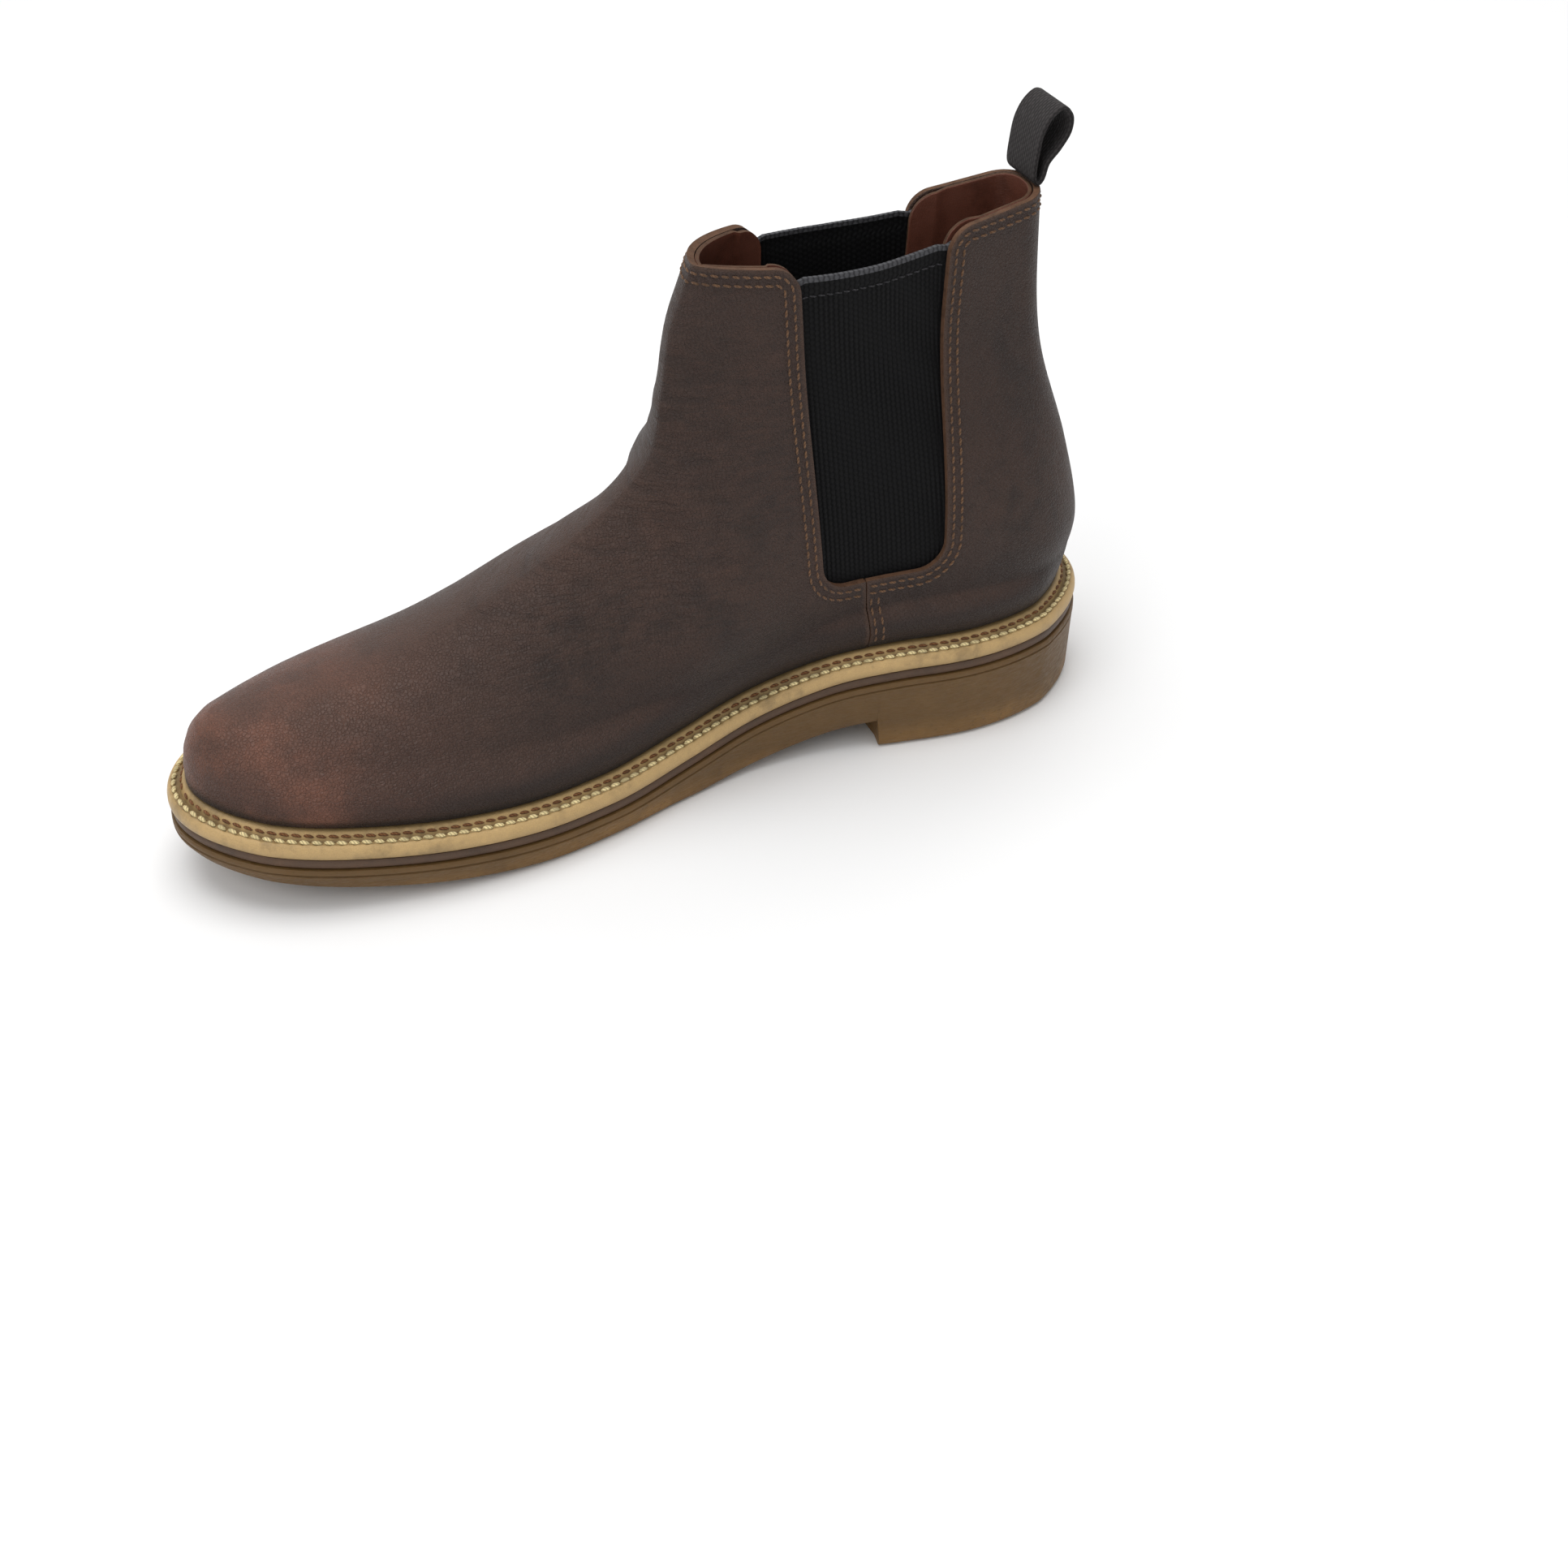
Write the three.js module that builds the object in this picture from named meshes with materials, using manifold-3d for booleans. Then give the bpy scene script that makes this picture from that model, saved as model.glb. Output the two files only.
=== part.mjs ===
// Chelsea boot for the right foot: a welted leather ankle boot with elastic side gores and a pull loop.
// Millimetres. Toe towards -Y, heel towards +Y, inner (medial) side +X, floor at Z = 0.
import * as THREE from "three";
import Module from "manifold-3d";
import { mergeVertices } from "three/addons/utils/BufferGeometryUtils.js";

// ---------------------------------------------------------------- driving dimensions

const soleLength = 300; // toe to heel at the edge of the welt
const soleWidth = 108; // across the ball at the edge of the welt
const weltReach = 6; // how far the welt stands out past the upper
const weltTuck = 8; // how far the welt runs in under the insole
const weltHeight = 6.8; // underside of the welt to the seat of the upper
const midsoleThickness = 3;
const soleThickness = 13; // floor to the underside of the welt at the ball
const toeSoleThickness = 10; // the same at the toe
const toeSpring = 11; // rise of the welt from the ball to the toe
const heelLift = 16; // rise of the welt from the ball to the heel
const waistRise = 9.5; // height of the arch's underside in front of the heel
const soleTaper = 1.2; // how far the outsole's foot stands back from its top edge

const toeBoxHeight = 52; // top of the toe, above the floor
const toeWallReach = 15.8; // from the foot of the toe's wall to where it has turned over into the top
const instepHeight = 106; // top of the instep at the bend
const shaftHeight = 162; // top edge over the gores, above the floor
const frontRise = 4; // top edge at the front of the shaft, above that
const backRise = 6.5; // top edge at the back, above that
const ankleWidth = 73; // across the ankle, just above the heel
const shaftWidth = 40; // across the top opening
const shaftBackWidth = 25; // width of the nearly flat back of the opening
const heelBulge = 2; // how far the back of the heel stands out past its seat
const backLean = 14.5; // how far the top of the back stands in from the heel seat

const leather = 2.2; // upper leather
const lining = 1.2; // lining leather
const reinforcement = 1.2; // toe puff and heel counter
const clearance = 0.3; // gap between neighbouring pieces
const layerGap = 0.4; // gap between the layers of the sole, which bend along its length
const seatGap = 0.7; // gap between the welt and the upper's cut edge, which bends less evenly
const footbedPlay = 2.6; // play between the footbed's rim and the lining
const footbedBevel = 1; // how far the footbed's top edge stands in from its foot

const goreFootRise = 27.5; // the gore's bottom edge above the seat of the upper
const goreDrop = 4; // the gore's top edge below the leather's
const goreUnderlap = 8; // how far the gore runs under the leather
const sideSeamSetback = 14; // side seam behind the gore's front edge

const insoleThickness = 2.5;
const footbedThickness = 4;
const labelThickness = 0.6;
const shankLength = 100;
const shankWidth = 16;
const shankThickness = 1.8;

const loopWidth = 18;
const loopHeight = 20.5;
const loopThickness = 1.5;
const threadWidth = 0.8;
const edgeStitchInset = 2.2; // outer row of stitches, from the cut edge
const edgeStitchSpacing = 2.6; // outer row to inner row
const weltStitchInset = 2.2; // row of stitches, from the edge of the welt

// ---------------------------------------------------------------- small helpers

const lerp = THREE.MathUtils.lerp;
const clamp = THREE.MathUtils.clamp;
const smooth = (x, low, high) => THREE.MathUtils.smoothstep(x, low, high);

// A value read off a short table of [position, value] pairs by a smooth curve.
function reader(table) {
  const curve = new THREE.CatmullRomCurve3(
    table.map(([a, b]) => new THREE.Vector3(a, b, 0)),
    false,
    "centripetal",
  );
  const points = curve.getPoints(table.length * 16);
  return (a) => {
    if (a <= points[0].x) return points[0].y;
    const k = points.findIndex((p) => p.x >= a);
    if (k < 0) return points.at(-1).y;
    const share = (a - points[k - 1].x) / (points[k].x - points[k - 1].x || 1);
    return lerp(points[k - 1].y, points[k].y, share);
  };
}

// A quarter of a superellipse: 0 at the edge, 1 from a distance of reach inwards.
const rounded = (distance, reach, power) =>
  Math.pow(1 - Math.pow(1 - clamp(distance / reach, 0, 1), power), 1 / power);

// A closed solid through equal sections. A ring of sections closes on itself, any other gets two end caps.
function loft(sections, ring = false) {
  const count = sections[0].length;
  const positions = sections.flat().flatMap((p) => [p.x, p.y, p.z]);
  const faces = [];
  const steps = ring ? sections.length : sections.length - 1;
  for (let s = 0; s < steps; s++) {
    const here = s * count;
    const next = ((s + 1) % sections.length) * count;
    for (let k = 0; k < count; k++) {
      const m = (k + 1) % count;
      faces.push(here + k, here + m, next + m, here + k, next + m, next + k);
    }
  }
  if (!ring) {
    const last = (sections.length - 1) * count;
    for (let k = 1; k < count - 1; k++) {
      faces.push(0, k + 1, k, last, last + k, last + k + 1);
    }
  }
  const geometry = new THREE.BufferGeometry();
  geometry.setAttribute("position", new THREE.Float32BufferAttribute(positions, 3));
  geometry.setIndex(faces);
  return outward(geometry);
}

// Turns a closed surface's faces outwards.
function outward(geometry) {
  const p = geometry.getAttribute("position");
  const index = geometry.index.array;
  const [a, b, c] = [new THREE.Vector3(), new THREE.Vector3(), new THREE.Vector3()];
  let volume = 0;
  for (let i = 0; i < index.length; i += 3) {
    a.fromBufferAttribute(p, index[i]);
    b.fromBufferAttribute(p, index[i + 1]);
    c.fromBufferAttribute(p, index[i + 2]);
    volume += a.dot(b.cross(c));
  }
  if (volume < 0) {
    for (let i = 0; i < index.length; i += 3) {
      [index[i + 1], index[i + 2]] = [index[i + 2], index[i + 1]];
    }
  }
  return geometry;
}

const wasm = await Module();
wasm.setup();

function toSolid(geometry) {
  const bare = geometry.clone();
  bare.deleteAttribute("normal");
  bare.deleteAttribute("uv");
  const merged = mergeVertices(bare, 1e-4);
  return new wasm.Manifold(
    new wasm.Mesh({
      numProp: 3,
      vertProperties: new Float32Array(merged.attributes.position.array),
      triVerts: new Uint32Array(merged.index.array),
    }),
  );
}

function cut(geometry, tool) {
  const mesh = toSolid(geometry).subtract(toSolid(tool)).getMesh();
  const result = new THREE.BufferGeometry();
  result.setAttribute("position", new THREE.Float32BufferAttribute(mesh.vertProperties, 3));
  result.setIndex([...mesh.triVerts]);
  return result;
}

// ---------------------------------------------------------------- the sole's outline and heights

const featherLength = soleLength - 2 * weltReach;
const featherWidth = soleWidth - 2 * weltReach;
const MEDIAL = 1;
const LATERAL = -1;

const yAt = (share) => (share - 0.5) * featherLength; // share of the length, from the toe
const shareAt = (y) => clamp(y / featherLength + 0.5, 0, 1);
const axisX = (share) => lerp(9.5, -0.5, share);

// Half widths of the feather line, where upper and welt meet, as shares of its width at the ball.
const halfWidths = [
  [0.061, 0.265, 0.302],
  [0.148, 0.355, 0.456],
  [0.235, 0.395, 0.546],
  [0.321, 0.396, 0.604],
  [0.408, 0.352, 0.622],
  [0.495, 0.279, 0.576],
  [0.582, 0.229, 0.474],
  [0.668, 0.239, 0.368],
  [0.755, 0.295, 0.312],
  [0.842, 0.335, 0.315],
  [0.929, 0.289, 0.295],
];
const roundEnds = (share) => 2 * Math.sqrt(clamp(share * (1 - share), 0, 1));
const fullness = {
  [MEDIAL]: reader(halfWidths.map(([share, medial]) => [share, medial / roundEnds(share)])),
  [LATERAL]: reader(halfWidths.map(([share, , lateral]) => [share, lateral / roundEnds(share)])),
};
const featherX = (side, share) =>
  axisX(share) + side * featherWidth * fullness[side](share) * roundEnds(share);

// A point of an outline that runs beside the feather line, outside it where offset is positive.
// turn goes from 0 at the toe to pi at the heel.
function edgePoint(side, turn, offset) {
  const step = 0.01;
  const at = (a) => {
    const share = (1 - Math.cos(a)) / 2;
    return new THREE.Vector2(featherX(side, share), yAt(share));
  };
  const along = at(Math.min(turn + step, Math.PI)).sub(at(Math.max(turn - step, 0)));
  const out = new THREE.Vector2(side * along.y, -side * along.x).normalize();
  return at(turn).addScaledVector(out, offset);
}

const toeCurve = (share) => Math.pow(Math.max(0, 0.36 - share) / 0.36, 1.6);
const weltUnderside = (share) =>
  soleThickness + toeSpring * toeCurve(share) + heelLift * smooth(share, 0.4, 0.78);
const seatHeight = (share) => weltUnderside(share) + weltHeight + seatGap; // the upper's lower edge
const breastShare = 0.733;
function soleUnderside(share) {
  if (share > breastShare) return 0;
  const toeRise = toeSpring + soleThickness - toeSoleThickness;
  return toeRise * toeCurve(share) + waistRise * smooth(share, 0.5, 0.75);
}

// Every layer of the sole has its sections at the same turns, so that the layers lie on each other evenly.
const tipTurn = 0.06;
const breastTurn = Math.acos(1 - 2 * breastShare);
const spread = (steps, from, to) =>
  Array.from({ length: steps + 1 }, (_, k) => lerp(from, to, k / steps));
const soleTurns = [
  ...spread(24, tipTurn, breastTurn - 0.002),
  ...spread(12, breastTurn + 0.002, Math.PI - tipTurn),
];
const shareOf = (turn) => (1 - Math.cos(turn)) / 2;

// A plate under the foot, through one section across the foot at each turn.
function plate(offset, bottom, top, footOffset = offset) {
  return loft(
    soleTurns.map((turn) => {
      const share = shareOf(turn);
      const corner = (side, out, z) => {
        const p = edgePoint(side, turn, out);
        return new THREE.Vector3(p.x, p.y, z);
      };
      return [
        corner(MEDIAL, footOffset, bottom(share)),
        corner(MEDIAL, offset, top(share)),
        corner(LATERAL, offset, top(share)),
        corner(LATERAL, footOffset, bottom(share)),
      ];
    }),
  );
}

// A ring that follows the feather line, with a section given as [offset, height over the welt's underside].
function edgeRing(section) {
  const stations = [
    ...soleTurns.map((turn) => [MEDIAL, turn]),
    ...soleTurns.map((turn) => [LATERAL, turn]).reverse(),
  ];
  return loft(
    stations.map(([side, turn]) =>
      section.map(([offset, height]) => {
        const p = edgePoint(side, turn, offset);
        return new THREE.Vector3(p.x, p.y, weltUnderside(shareOf(turn)) + height);
      }),
    ),
    true,
  );
}

// ---------------------------------------------------------------- the upper's surface

const frontHeight = shaftHeight + frontRise;
const backHeight = shaftHeight + backRise;

// Side view of the front: over the toe, up the instep and up the front of the shaft, as [share, height].
const toeKnee = toeWallReach / featherLength;
const toeWall = Array.from({ length: 7 }, (_, k) => {
  const a = (k / 7) * (Math.PI / 2);
  return [
    toeKnee * (1 - Math.pow(Math.cos(a), 0.8)),
    lerp(seatHeight(0), toeBoxHeight, Math.pow(Math.sin(a), 0.8)),
  ];
});
const frontLine = [
  ...toeWall,
  [toeKnee, toeBoxHeight],
  [0.17, lerp(toeBoxHeight, instepHeight, 0.1)],
  [0.29, lerp(toeBoxHeight, instepHeight, 0.3)],
  [0.413, lerp(toeBoxHeight, instepHeight, 0.63)],
  [0.498, instepHeight],
  [0.517, lerp(instepHeight, frontHeight, 0.32)],
  [0.53, lerp(instepHeight, frontHeight, 0.65)],
  [0.557, frontHeight],
];
const frontCurve = new THREE.CatmullRomCurve3(
  frontLine.map(([share, z]) => new THREE.Vector3(0, yAt(share), z)),
  false,
  "centripetal",
);
const frontPoints = frontCurve.getSpacedPoints(300);
const frontTopY = frontPoints.at(-1).y;

// Height of the front line over a place y, and place of the front line at a height z.
function along(points, key, value, other) {
  const k = points.findIndex((p) => p[key] >= value);
  if (k === 0) return points[0][other];
  if (k < 0) return points.at(-1)[other];
  const [a, b] = [points[k - 1], points[k]];
  return lerp(a[other], b[other], (value - a[key]) / (b[key] - a[key] || 1));
}
const frontSlope = 14; // the front line runs on this steeply above the opening
const frontHeightAt = (y) =>
  y >= frontTopY ? frontHeight + (y - frontTopY) * frontSlope : along(frontPoints, "y", y, "z");
const frontYAt = (z) => along(frontPoints, "z", z, "y");

// Side view of the back, as the place y at a height z.
const heelY = yAt(1);
const backYAt = reader([
  [seatHeight(1) - 10, heelY],
  [seatHeight(1), heelY],
  [seatHeight(1) + 24, heelY + heelBulge],
  [lerp(seatHeight(1), backHeight, 0.38), heelY - backLean * 0.2],
  [lerp(seatHeight(1), backHeight, 0.64), heelY - backLean * 0.85],
  [backHeight, heelY - backLean],
  [backHeight + 20, heelY - backLean],
]);

// The middle line from above, half widths at the ankle and half widths at the top opening.
const middleX = reader([[0, 9.5], [0.29, 12], [0.56, 12.5], [0.71, 3], [0.88, -1], [1, -0.5]]);
const ankleHalf = {
  [MEDIAL]: reader([[0.3, 0.54], [0.535, 0.54], [0.69, 0.42], [0.865, 0.465], [1, 0.465]]),
  [LATERAL]: reader([[0.3, 0.66], [0.535, 0.66], [0.69, 0.5], [0.865, 0.53], [1, 0.53]]),
};
const topHalf = {
  [MEDIAL]: reader([[0.3, 0.56], [0.674, 0.56], [0.83, 0.48], [1, 0.48]]),
  [LATERAL]: reader([[0.3, 0.46], [0.674, 0.46], [0.83, 0.44], [1, 0.44]]),
};
const ankleLevel = 0.22; // share of the height from the seat to the top edge

// Sideways place of the upper's outer face over a point of the side view.
function upperX(side, y, z) {
  const share = shareAt(y);
  const seat = seatHeight(share);
  const height = clamp((z - seat) / (shaftHeight - seat), 0, 1);
  const front = frontHeightAt(y);
  const over = clamp((front - z) / (front - seat + 1e-6), 0, 1);
  const behind = clamp((y - frontYAt(z)) / 52, 0, 1);
  const shaft = smooth(z, instepHeight - 21, instepHeight + 24);
  const depth = Math.pow(over, 1 - shaft) * Math.pow(behind, shaft);
  const power = lerp(lerp(2, 1.6, smooth(share, 0.08, 0.3)), 2, shaft);
  const arch = Math.pow(1 - Math.pow(1 - depth, power), 1 / power);

  const fromBack = Math.max(0, backYAt(z) - y);
  const shifted = y + (heelY - backYAt(z)) * smooth(y, -20, 100);
  const foot = featherX(side, shareAt(shifted));
  const ankle = side * ankleWidth * ankleHalf[side](share) * rounded(fromBack, 34, 2.2);
  const flatBack = shaftBackWidth / shaftWidth;
  const topShape = flatBack * rounded(fromBack, 9, 2.2)
    + (1 - flatBack) * Math.pow(clamp(fromBack / 57, 0, 1), 0.8);
  const top = side * shaftWidth * topHalf[side](share) * topShape;
  let leg = lerp(foot, ankle, smooth(height, 0, ankleLevel));
  leg = lerp(leg, top, smooth(height, ankleLevel, ankleLevel + 0.6));
  const wall = lerp(foot, leg, smooth(y, -40, 10));
  const bulge = 3 * Math.sin(clamp(height / 0.12, 0, 1) * Math.PI)
    * clamp(fromBack / 20, 0, 1) * clamp(share * 14, 0, 1);
  return middleX(share) + (wall + side * bulge - middleX(share)) * arch;
}

// ---------------------------------------------------------------- the upper's pattern lines, in side view

const flat = (y, z) => new THREE.Vector2(y, z);
const goreFrontTop = flat(yAt(0.658), shaftHeight + 1);
const goreBackTop = flat(yAt(0.83), shaftHeight + 1.5);
const frontFootY = yAt(0.674); // where the lines down from the gore's corners meet the seat
const backFootY = yAt(0.802);
const goreFootZ = seatHeight(shareAt(frontFootY)) + goreFootRise;
const goreFrontFoot = flat(yAt(0.669), goreFootZ);
const goreBackFoot = flat(yAt(0.806), goreFootZ + 0.5);
const levelFrontShare = 0.29; // where the line through the gore's foot meets the front line
const levelBackZ = goreBackFoot.y + 2;

const frontSplit = frontPoints.findIndex((p) => p.y >= yAt(levelFrontShare));
const frontPiece = (from, to) => (part) => {
  const k = lerp(from, to, part);
  const [a, b] = [frontPoints[Math.floor(k)], frontPoints[Math.ceil(k)]];
  return flat(lerp(a.y, b.y, k % 1), lerp(a.z, b.z, k % 1));
};
const straight = (a, b) => (part) => a.clone().lerp(b, part);
const seatLine = (fromY, toY) => (part) => {
  const y = lerp(fromY, toY, part);
  return flat(y, seatHeight(shareAt(y)));
};
const topline = reader([
  [frontTopY, frontHeight],
  [goreFrontTop.x, goreFrontTop.y],
  [(goreFrontTop.x + goreBackTop.x) / 2, shaftHeight],
  [goreBackTop.x, goreBackTop.y],
  [backYAt(backHeight), backHeight],
]);
const topLineBetween = (fromY, toY) => (part) => {
  const y = lerp(fromY, toY, part);
  return flat(y, topline(y));
};
const backPiece = (fromZ, toZ) => (part) => {
  const z = lerp(fromZ, toZ, part);
  return flat(backYAt(z), z);
};
const levelFront = frontPiece(frontSplit, frontSplit)(0);
const levelBack = flat(backYAt(levelBackZ), levelBackZ);

// Six blocks of the side view: front, middle and back, each below and above the gore's foot.
const blocks = {
  low: [
    {
      bottom: seatLine(yAt(0), frontFootY),
      top: straight(levelFront, goreFrontFoot),
      left: frontPiece(0, frontSplit),
      right: straight(flat(frontFootY, seatHeight(shareAt(frontFootY))), goreFrontFoot),
    },
    {
      bottom: seatLine(frontFootY, backFootY),
      top: straight(goreFrontFoot, goreBackFoot),
      left: straight(flat(frontFootY, seatHeight(shareAt(frontFootY))), goreFrontFoot),
      right: straight(flat(backFootY, seatHeight(shareAt(backFootY))), goreBackFoot),
    },
    {
      bottom: seatLine(backFootY, heelY),
      top: straight(goreBackFoot, levelBack),
      left: straight(flat(backFootY, seatHeight(shareAt(backFootY))), goreBackFoot),
      right: backPiece(seatHeight(1), levelBackZ),
    },
  ],
  high: [
    {
      bottom: straight(levelFront, goreFrontFoot),
      top: topLineBetween(frontTopY, goreFrontTop.x),
      left: frontPiece(frontSplit, frontPoints.length - 1),
      right: straight(goreFrontFoot, goreFrontTop),
    },
    {
      bottom: straight(goreFrontFoot, goreBackFoot),
      top: topLineBetween(goreFrontTop.x, goreBackTop.x),
      left: straight(goreFrontFoot, goreFrontTop),
      right: straight(goreBackFoot, goreBackTop),
    },
    {
      bottom: straight(goreBackFoot, levelBack),
      top: topLineBetween(goreBackTop.x, backYAt(backHeight)),
      left: straight(goreBackFoot, goreBackTop),
      right: backPiece(levelBackZ, backHeight),
    },
  ],
};

// A point inside a block, u from its left edge to its right one and v from its foot to its top.
function insideBlock({ bottom, top, left, right }, u, v) {
  const edges = bottom(u).multiplyScalar(1 - v).addScaledVector(top(u), v)
    .addScaledVector(left(v), 1 - u).addScaledVector(right(v), u);
  const corners = bottom(0).multiplyScalar((1 - u) * (1 - v)).addScaledVector(bottom(1), u * (1 - v))
    .addScaledVector(top(0), (1 - u) * v).addScaledVector(top(1), u * v);
  return edges.sub(corners);
}

// Columns run from the front line to the back. Each gives its block and its place for a row's length there.
const frontColumns = 13;
const backColumns = 6;
const fromFront = (k) => (length) => {
  const free = 1 - (goreUnderlap + clearance) / length;
  return free * (1 - Math.cos((k / frontColumns) * (Math.PI / 2)));
};
const toBack = (k) => (length) => {
  const used = (goreUnderlap + clearance) / length;
  return used + (1 - used) * Math.sin((k / backColumns) * (Math.PI / 2));
};
const columns = [];
for (let k = 0; k <= frontColumns; k++) columns.push([0, fromFront(k)]);
const underlapFront = columns.length;
columns.push([0, (length) => 1 - goreUnderlap / length]);
const goreFront = columns.length;
columns.push([0, () => 1]);
const seamFront = columns.length;
columns.push([1, (length) => sideSeamSetback / length]);
columns.push([1, (length) => (sideSeamSetback + clearance) / length]);
columns.push([1, (length) => 0.5 + (sideSeamSetback + clearance) / length / 2]);
const goreBack = columns.length;
columns.push([1, () => 1]);
const underlapBack = columns.length;
columns.push([2, (length) => goreUnderlap / length]);
for (let k = 0; k <= backColumns; k++) columns.push([2, toBack(k)]);
const backColumn = columns.length - 1;

// Rows run from the seat to the top edge.
const underlapShare = goreUnderlap / goreFootRise;
const gapShare = clearance / goreFootRise;
const rows = [
  ...[0, 0.22, 0.45, 0.72, 1].map((part) => ["low", part * (1 - underlapShare - gapShare)]),
  ["low", 1 - underlapShare],
];
const underlapRow = rows.length - 1;
rows.push(["low", 1 - underlapShare / 2], ["low", 1]);
const goreRow = rows.length - 1;
const goreTopShare = 1 - goreDrop / (goreFrontTop.y - goreFootZ);
for (const part of [0.16, 0.33, 0.5, 0.67, 0.84, 1]) rows.push(["high", part * goreTopShare]);
const goreTopRow = rows.length - 1;
rows.push(["high", 1]);
const topRow = rows.length - 1;

function sidePoint(i, j) {
  const [band, v] = rows[j];
  const [block, place] = columns[i];
  const edges = blocks[band][block];
  const length = edges.left(v).distanceTo(edges.right(v));
  return insideBlock(edges, place(length), v);
}

// Along the seat the upper's cut edge lies flat on the welt, so the direction through it is level.
function levelSeat(normals, ids) {
  for (const side of [MEDIAL, LATERAL]) {
    for (let i = 0; i <= backColumn; i++) {
      const id = ids.get(`${side},${i},0`);
      const n = new THREE.Vector3(normals.getX(id), normals.getY(id), 0).normalize();
      normals.setXYZ(id, n.x, n.y, n.z);
    }
  }
}

// The two lines beside a narrow gap share their directions, so the gap keeps its width below the face.
function shareAcrossGaps(normals, ids) {
  const share = (...places) => {
    const found = places.map((place) => ids.get(place.join()));
    const sum = new THREE.Vector3();
    for (const id of found) sum.add(new THREE.Vector3().fromBufferAttribute(normals, id));
    sum.normalize();
    for (const id of found) normals.setXYZ(id, sum.x, sum.y, sum.z);
  };
  for (const side of [MEDIAL, LATERAL]) {
    for (let j = 0; j <= topRow; j++) {
      for (const i of [underlapFront - 1, seamFront, underlapBack]) share([side, i, j], [side, i + 1, j]);
    }
    for (let i = 1; i < backColumn; i++) share([side, i, underlapRow - 1], [side, i, underlapRow]);
  }
}

// The outer face of the upper as a net of points and the directions out of it.
function makeNet() {
  const ids = new Map();
  const positions = [];
  for (const side of [MEDIAL, LATERAL]) {
    for (let i = 0; i <= backColumn; i++) {
      for (let j = 0; j <= topRow; j++) {
        const shared = i === 0 || i === backColumn;
        if (shared && side === LATERAL) {
          ids.set(`${side},${i},${j}`, ids.get(`${MEDIAL},${i},${j}`));
          continue;
        }
        const p = sidePoint(i, j);
        const x = i === 0 ? middleX(shareAt(p.x)) : upperX(side, p.x, p.y);
        ids.set(`${side},${i},${j}`, positions.length / 3);
        positions.push(x, p.x, p.y);
      }
    }
  }
  const faces = [];
  for (const side of [MEDIAL, LATERAL]) {
    for (let i = 0; i < backColumn; i++) {
      for (let j = 0; j < topRow; j++) {
        const [a, b, c, d] = [[i, j], [i + 1, j], [i + 1, j + 1], [i, j + 1]].map(([m, n]) =>
          ids.get(`${side},${m},${n}`),
        );
        if (side === MEDIAL) faces.push(a, b, c, a, c, d);
        else faces.push(a, c, b, a, d, c);
      }
    }
  }
  const geometry = new THREE.BufferGeometry();
  geometry.setAttribute("position", new THREE.Float32BufferAttribute(positions, 3));
  geometry.setIndex(faces);
  geometry.computeVertexNormals();
  shareAcrossGaps(geometry.attributes.normal, ids);
  levelSeat(geometry.attributes.normal, ids);
  return { ids, position: geometry.attributes.position, normal: geometry.attributes.normal };
}
const net = makeNet();

// A net point, sunk below the outer face by a depth.
function netPoint(side, i, j, depth) {
  const id = net.ids.get(`${side},${i},${j}`);
  const p = new THREE.Vector3().fromBufferAttribute(net.position, id);
  const n = new THREE.Vector3().fromBufferAttribute(net.normal, id);
  return p.addScaledVector(n, -depth);
}

// Where toe puff and heel counter lie, the lining runs deeper.
const puffColumns = 5;
const puffRow = 3;
const counterColumn = underlapBack + 2;
const counterRow = goreRow;
const reinforced = (i, j) =>
  (i <= puffColumns && j <= puffRow) || (i >= counterColumn && j <= counterRow) ? 1 : 0;

const underLeather = leather + clearance;
const liningDepth = (i, j) => underLeather + reinforced(i, j) * (reinforcement + clearance);

// A sheet over chosen cells of the net, between two depths: skin, underside and cut edges.
function sheet(has, outerDepth, thickness) {
  const ids = new Map();
  const positions = [];
  const vertex = (side, i, j, layer) => {
    const key = `${net.ids.get(`${side},${i},${j}`)},${layer}`;
    if (!ids.has(key)) {
      const p = netPoint(side, i, j, outerDepth(i, j) + layer * thickness);
      ids.set(key, positions.length / 3);
      positions.push(p.x, p.y, p.z);
    }
    return ids.get(key);
  };
  const faces = [];
  const cell = (side, i, j) =>
    i >= 0 && i < backColumn && j >= 0 && j < topRow && has(side, i, j);
  const quad = (side, a, b, c, d) => {
    if (side === MEDIAL) faces.push(a, b, c, a, c, d);
    else faces.push(a, c, b, a, d, c);
  };
  for (const side of [MEDIAL, LATERAL]) {
    for (let i = 0; i < backColumn; i++) {
      for (let j = 0; j < topRow; j++) {
        if (!cell(side, i, j)) continue;
        const ring = [[i, j], [i + 1, j], [i + 1, j + 1], [i, j + 1]];
        const outer = ring.map(([m, n]) => vertex(side, m, n, 0));
        const inner = ring.map(([m, n]) => vertex(side, m, n, 1));
        quad(side, ...outer);
        // The underside splits along the same corners as the skin.
        if (side === MEDIAL) faces.push(inner[0], inner[2], inner[1], inner[0], inner[3], inner[2]);
        else faces.push(inner[0], inner[1], inner[2], inner[0], inner[2], inner[3]);
        const beside = [
          cell(side, i, j - 1),
          i + 1 < backColumn ? cell(side, i + 1, j) : cell(-side, i, j),
          cell(side, i, j + 1),
          i > 0 ? cell(side, i - 1, j) : cell(-side, i, j),
        ];
        beside.forEach((taken, k) => {
          const m = (k + 1) % 4;
          if (!taken) quad(side, outer[m], outer[k], inner[k], inner[m]);
        });
      }
    }
  }
  const geometry = new THREE.BufferGeometry();
  geometry.setAttribute("position", new THREE.Float32BufferAttribute(positions, 3));
  geometry.setIndex(faces);
  return outward(geometry);
}

// ---------------------------------------------------------------- upper and lining pieces

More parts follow.
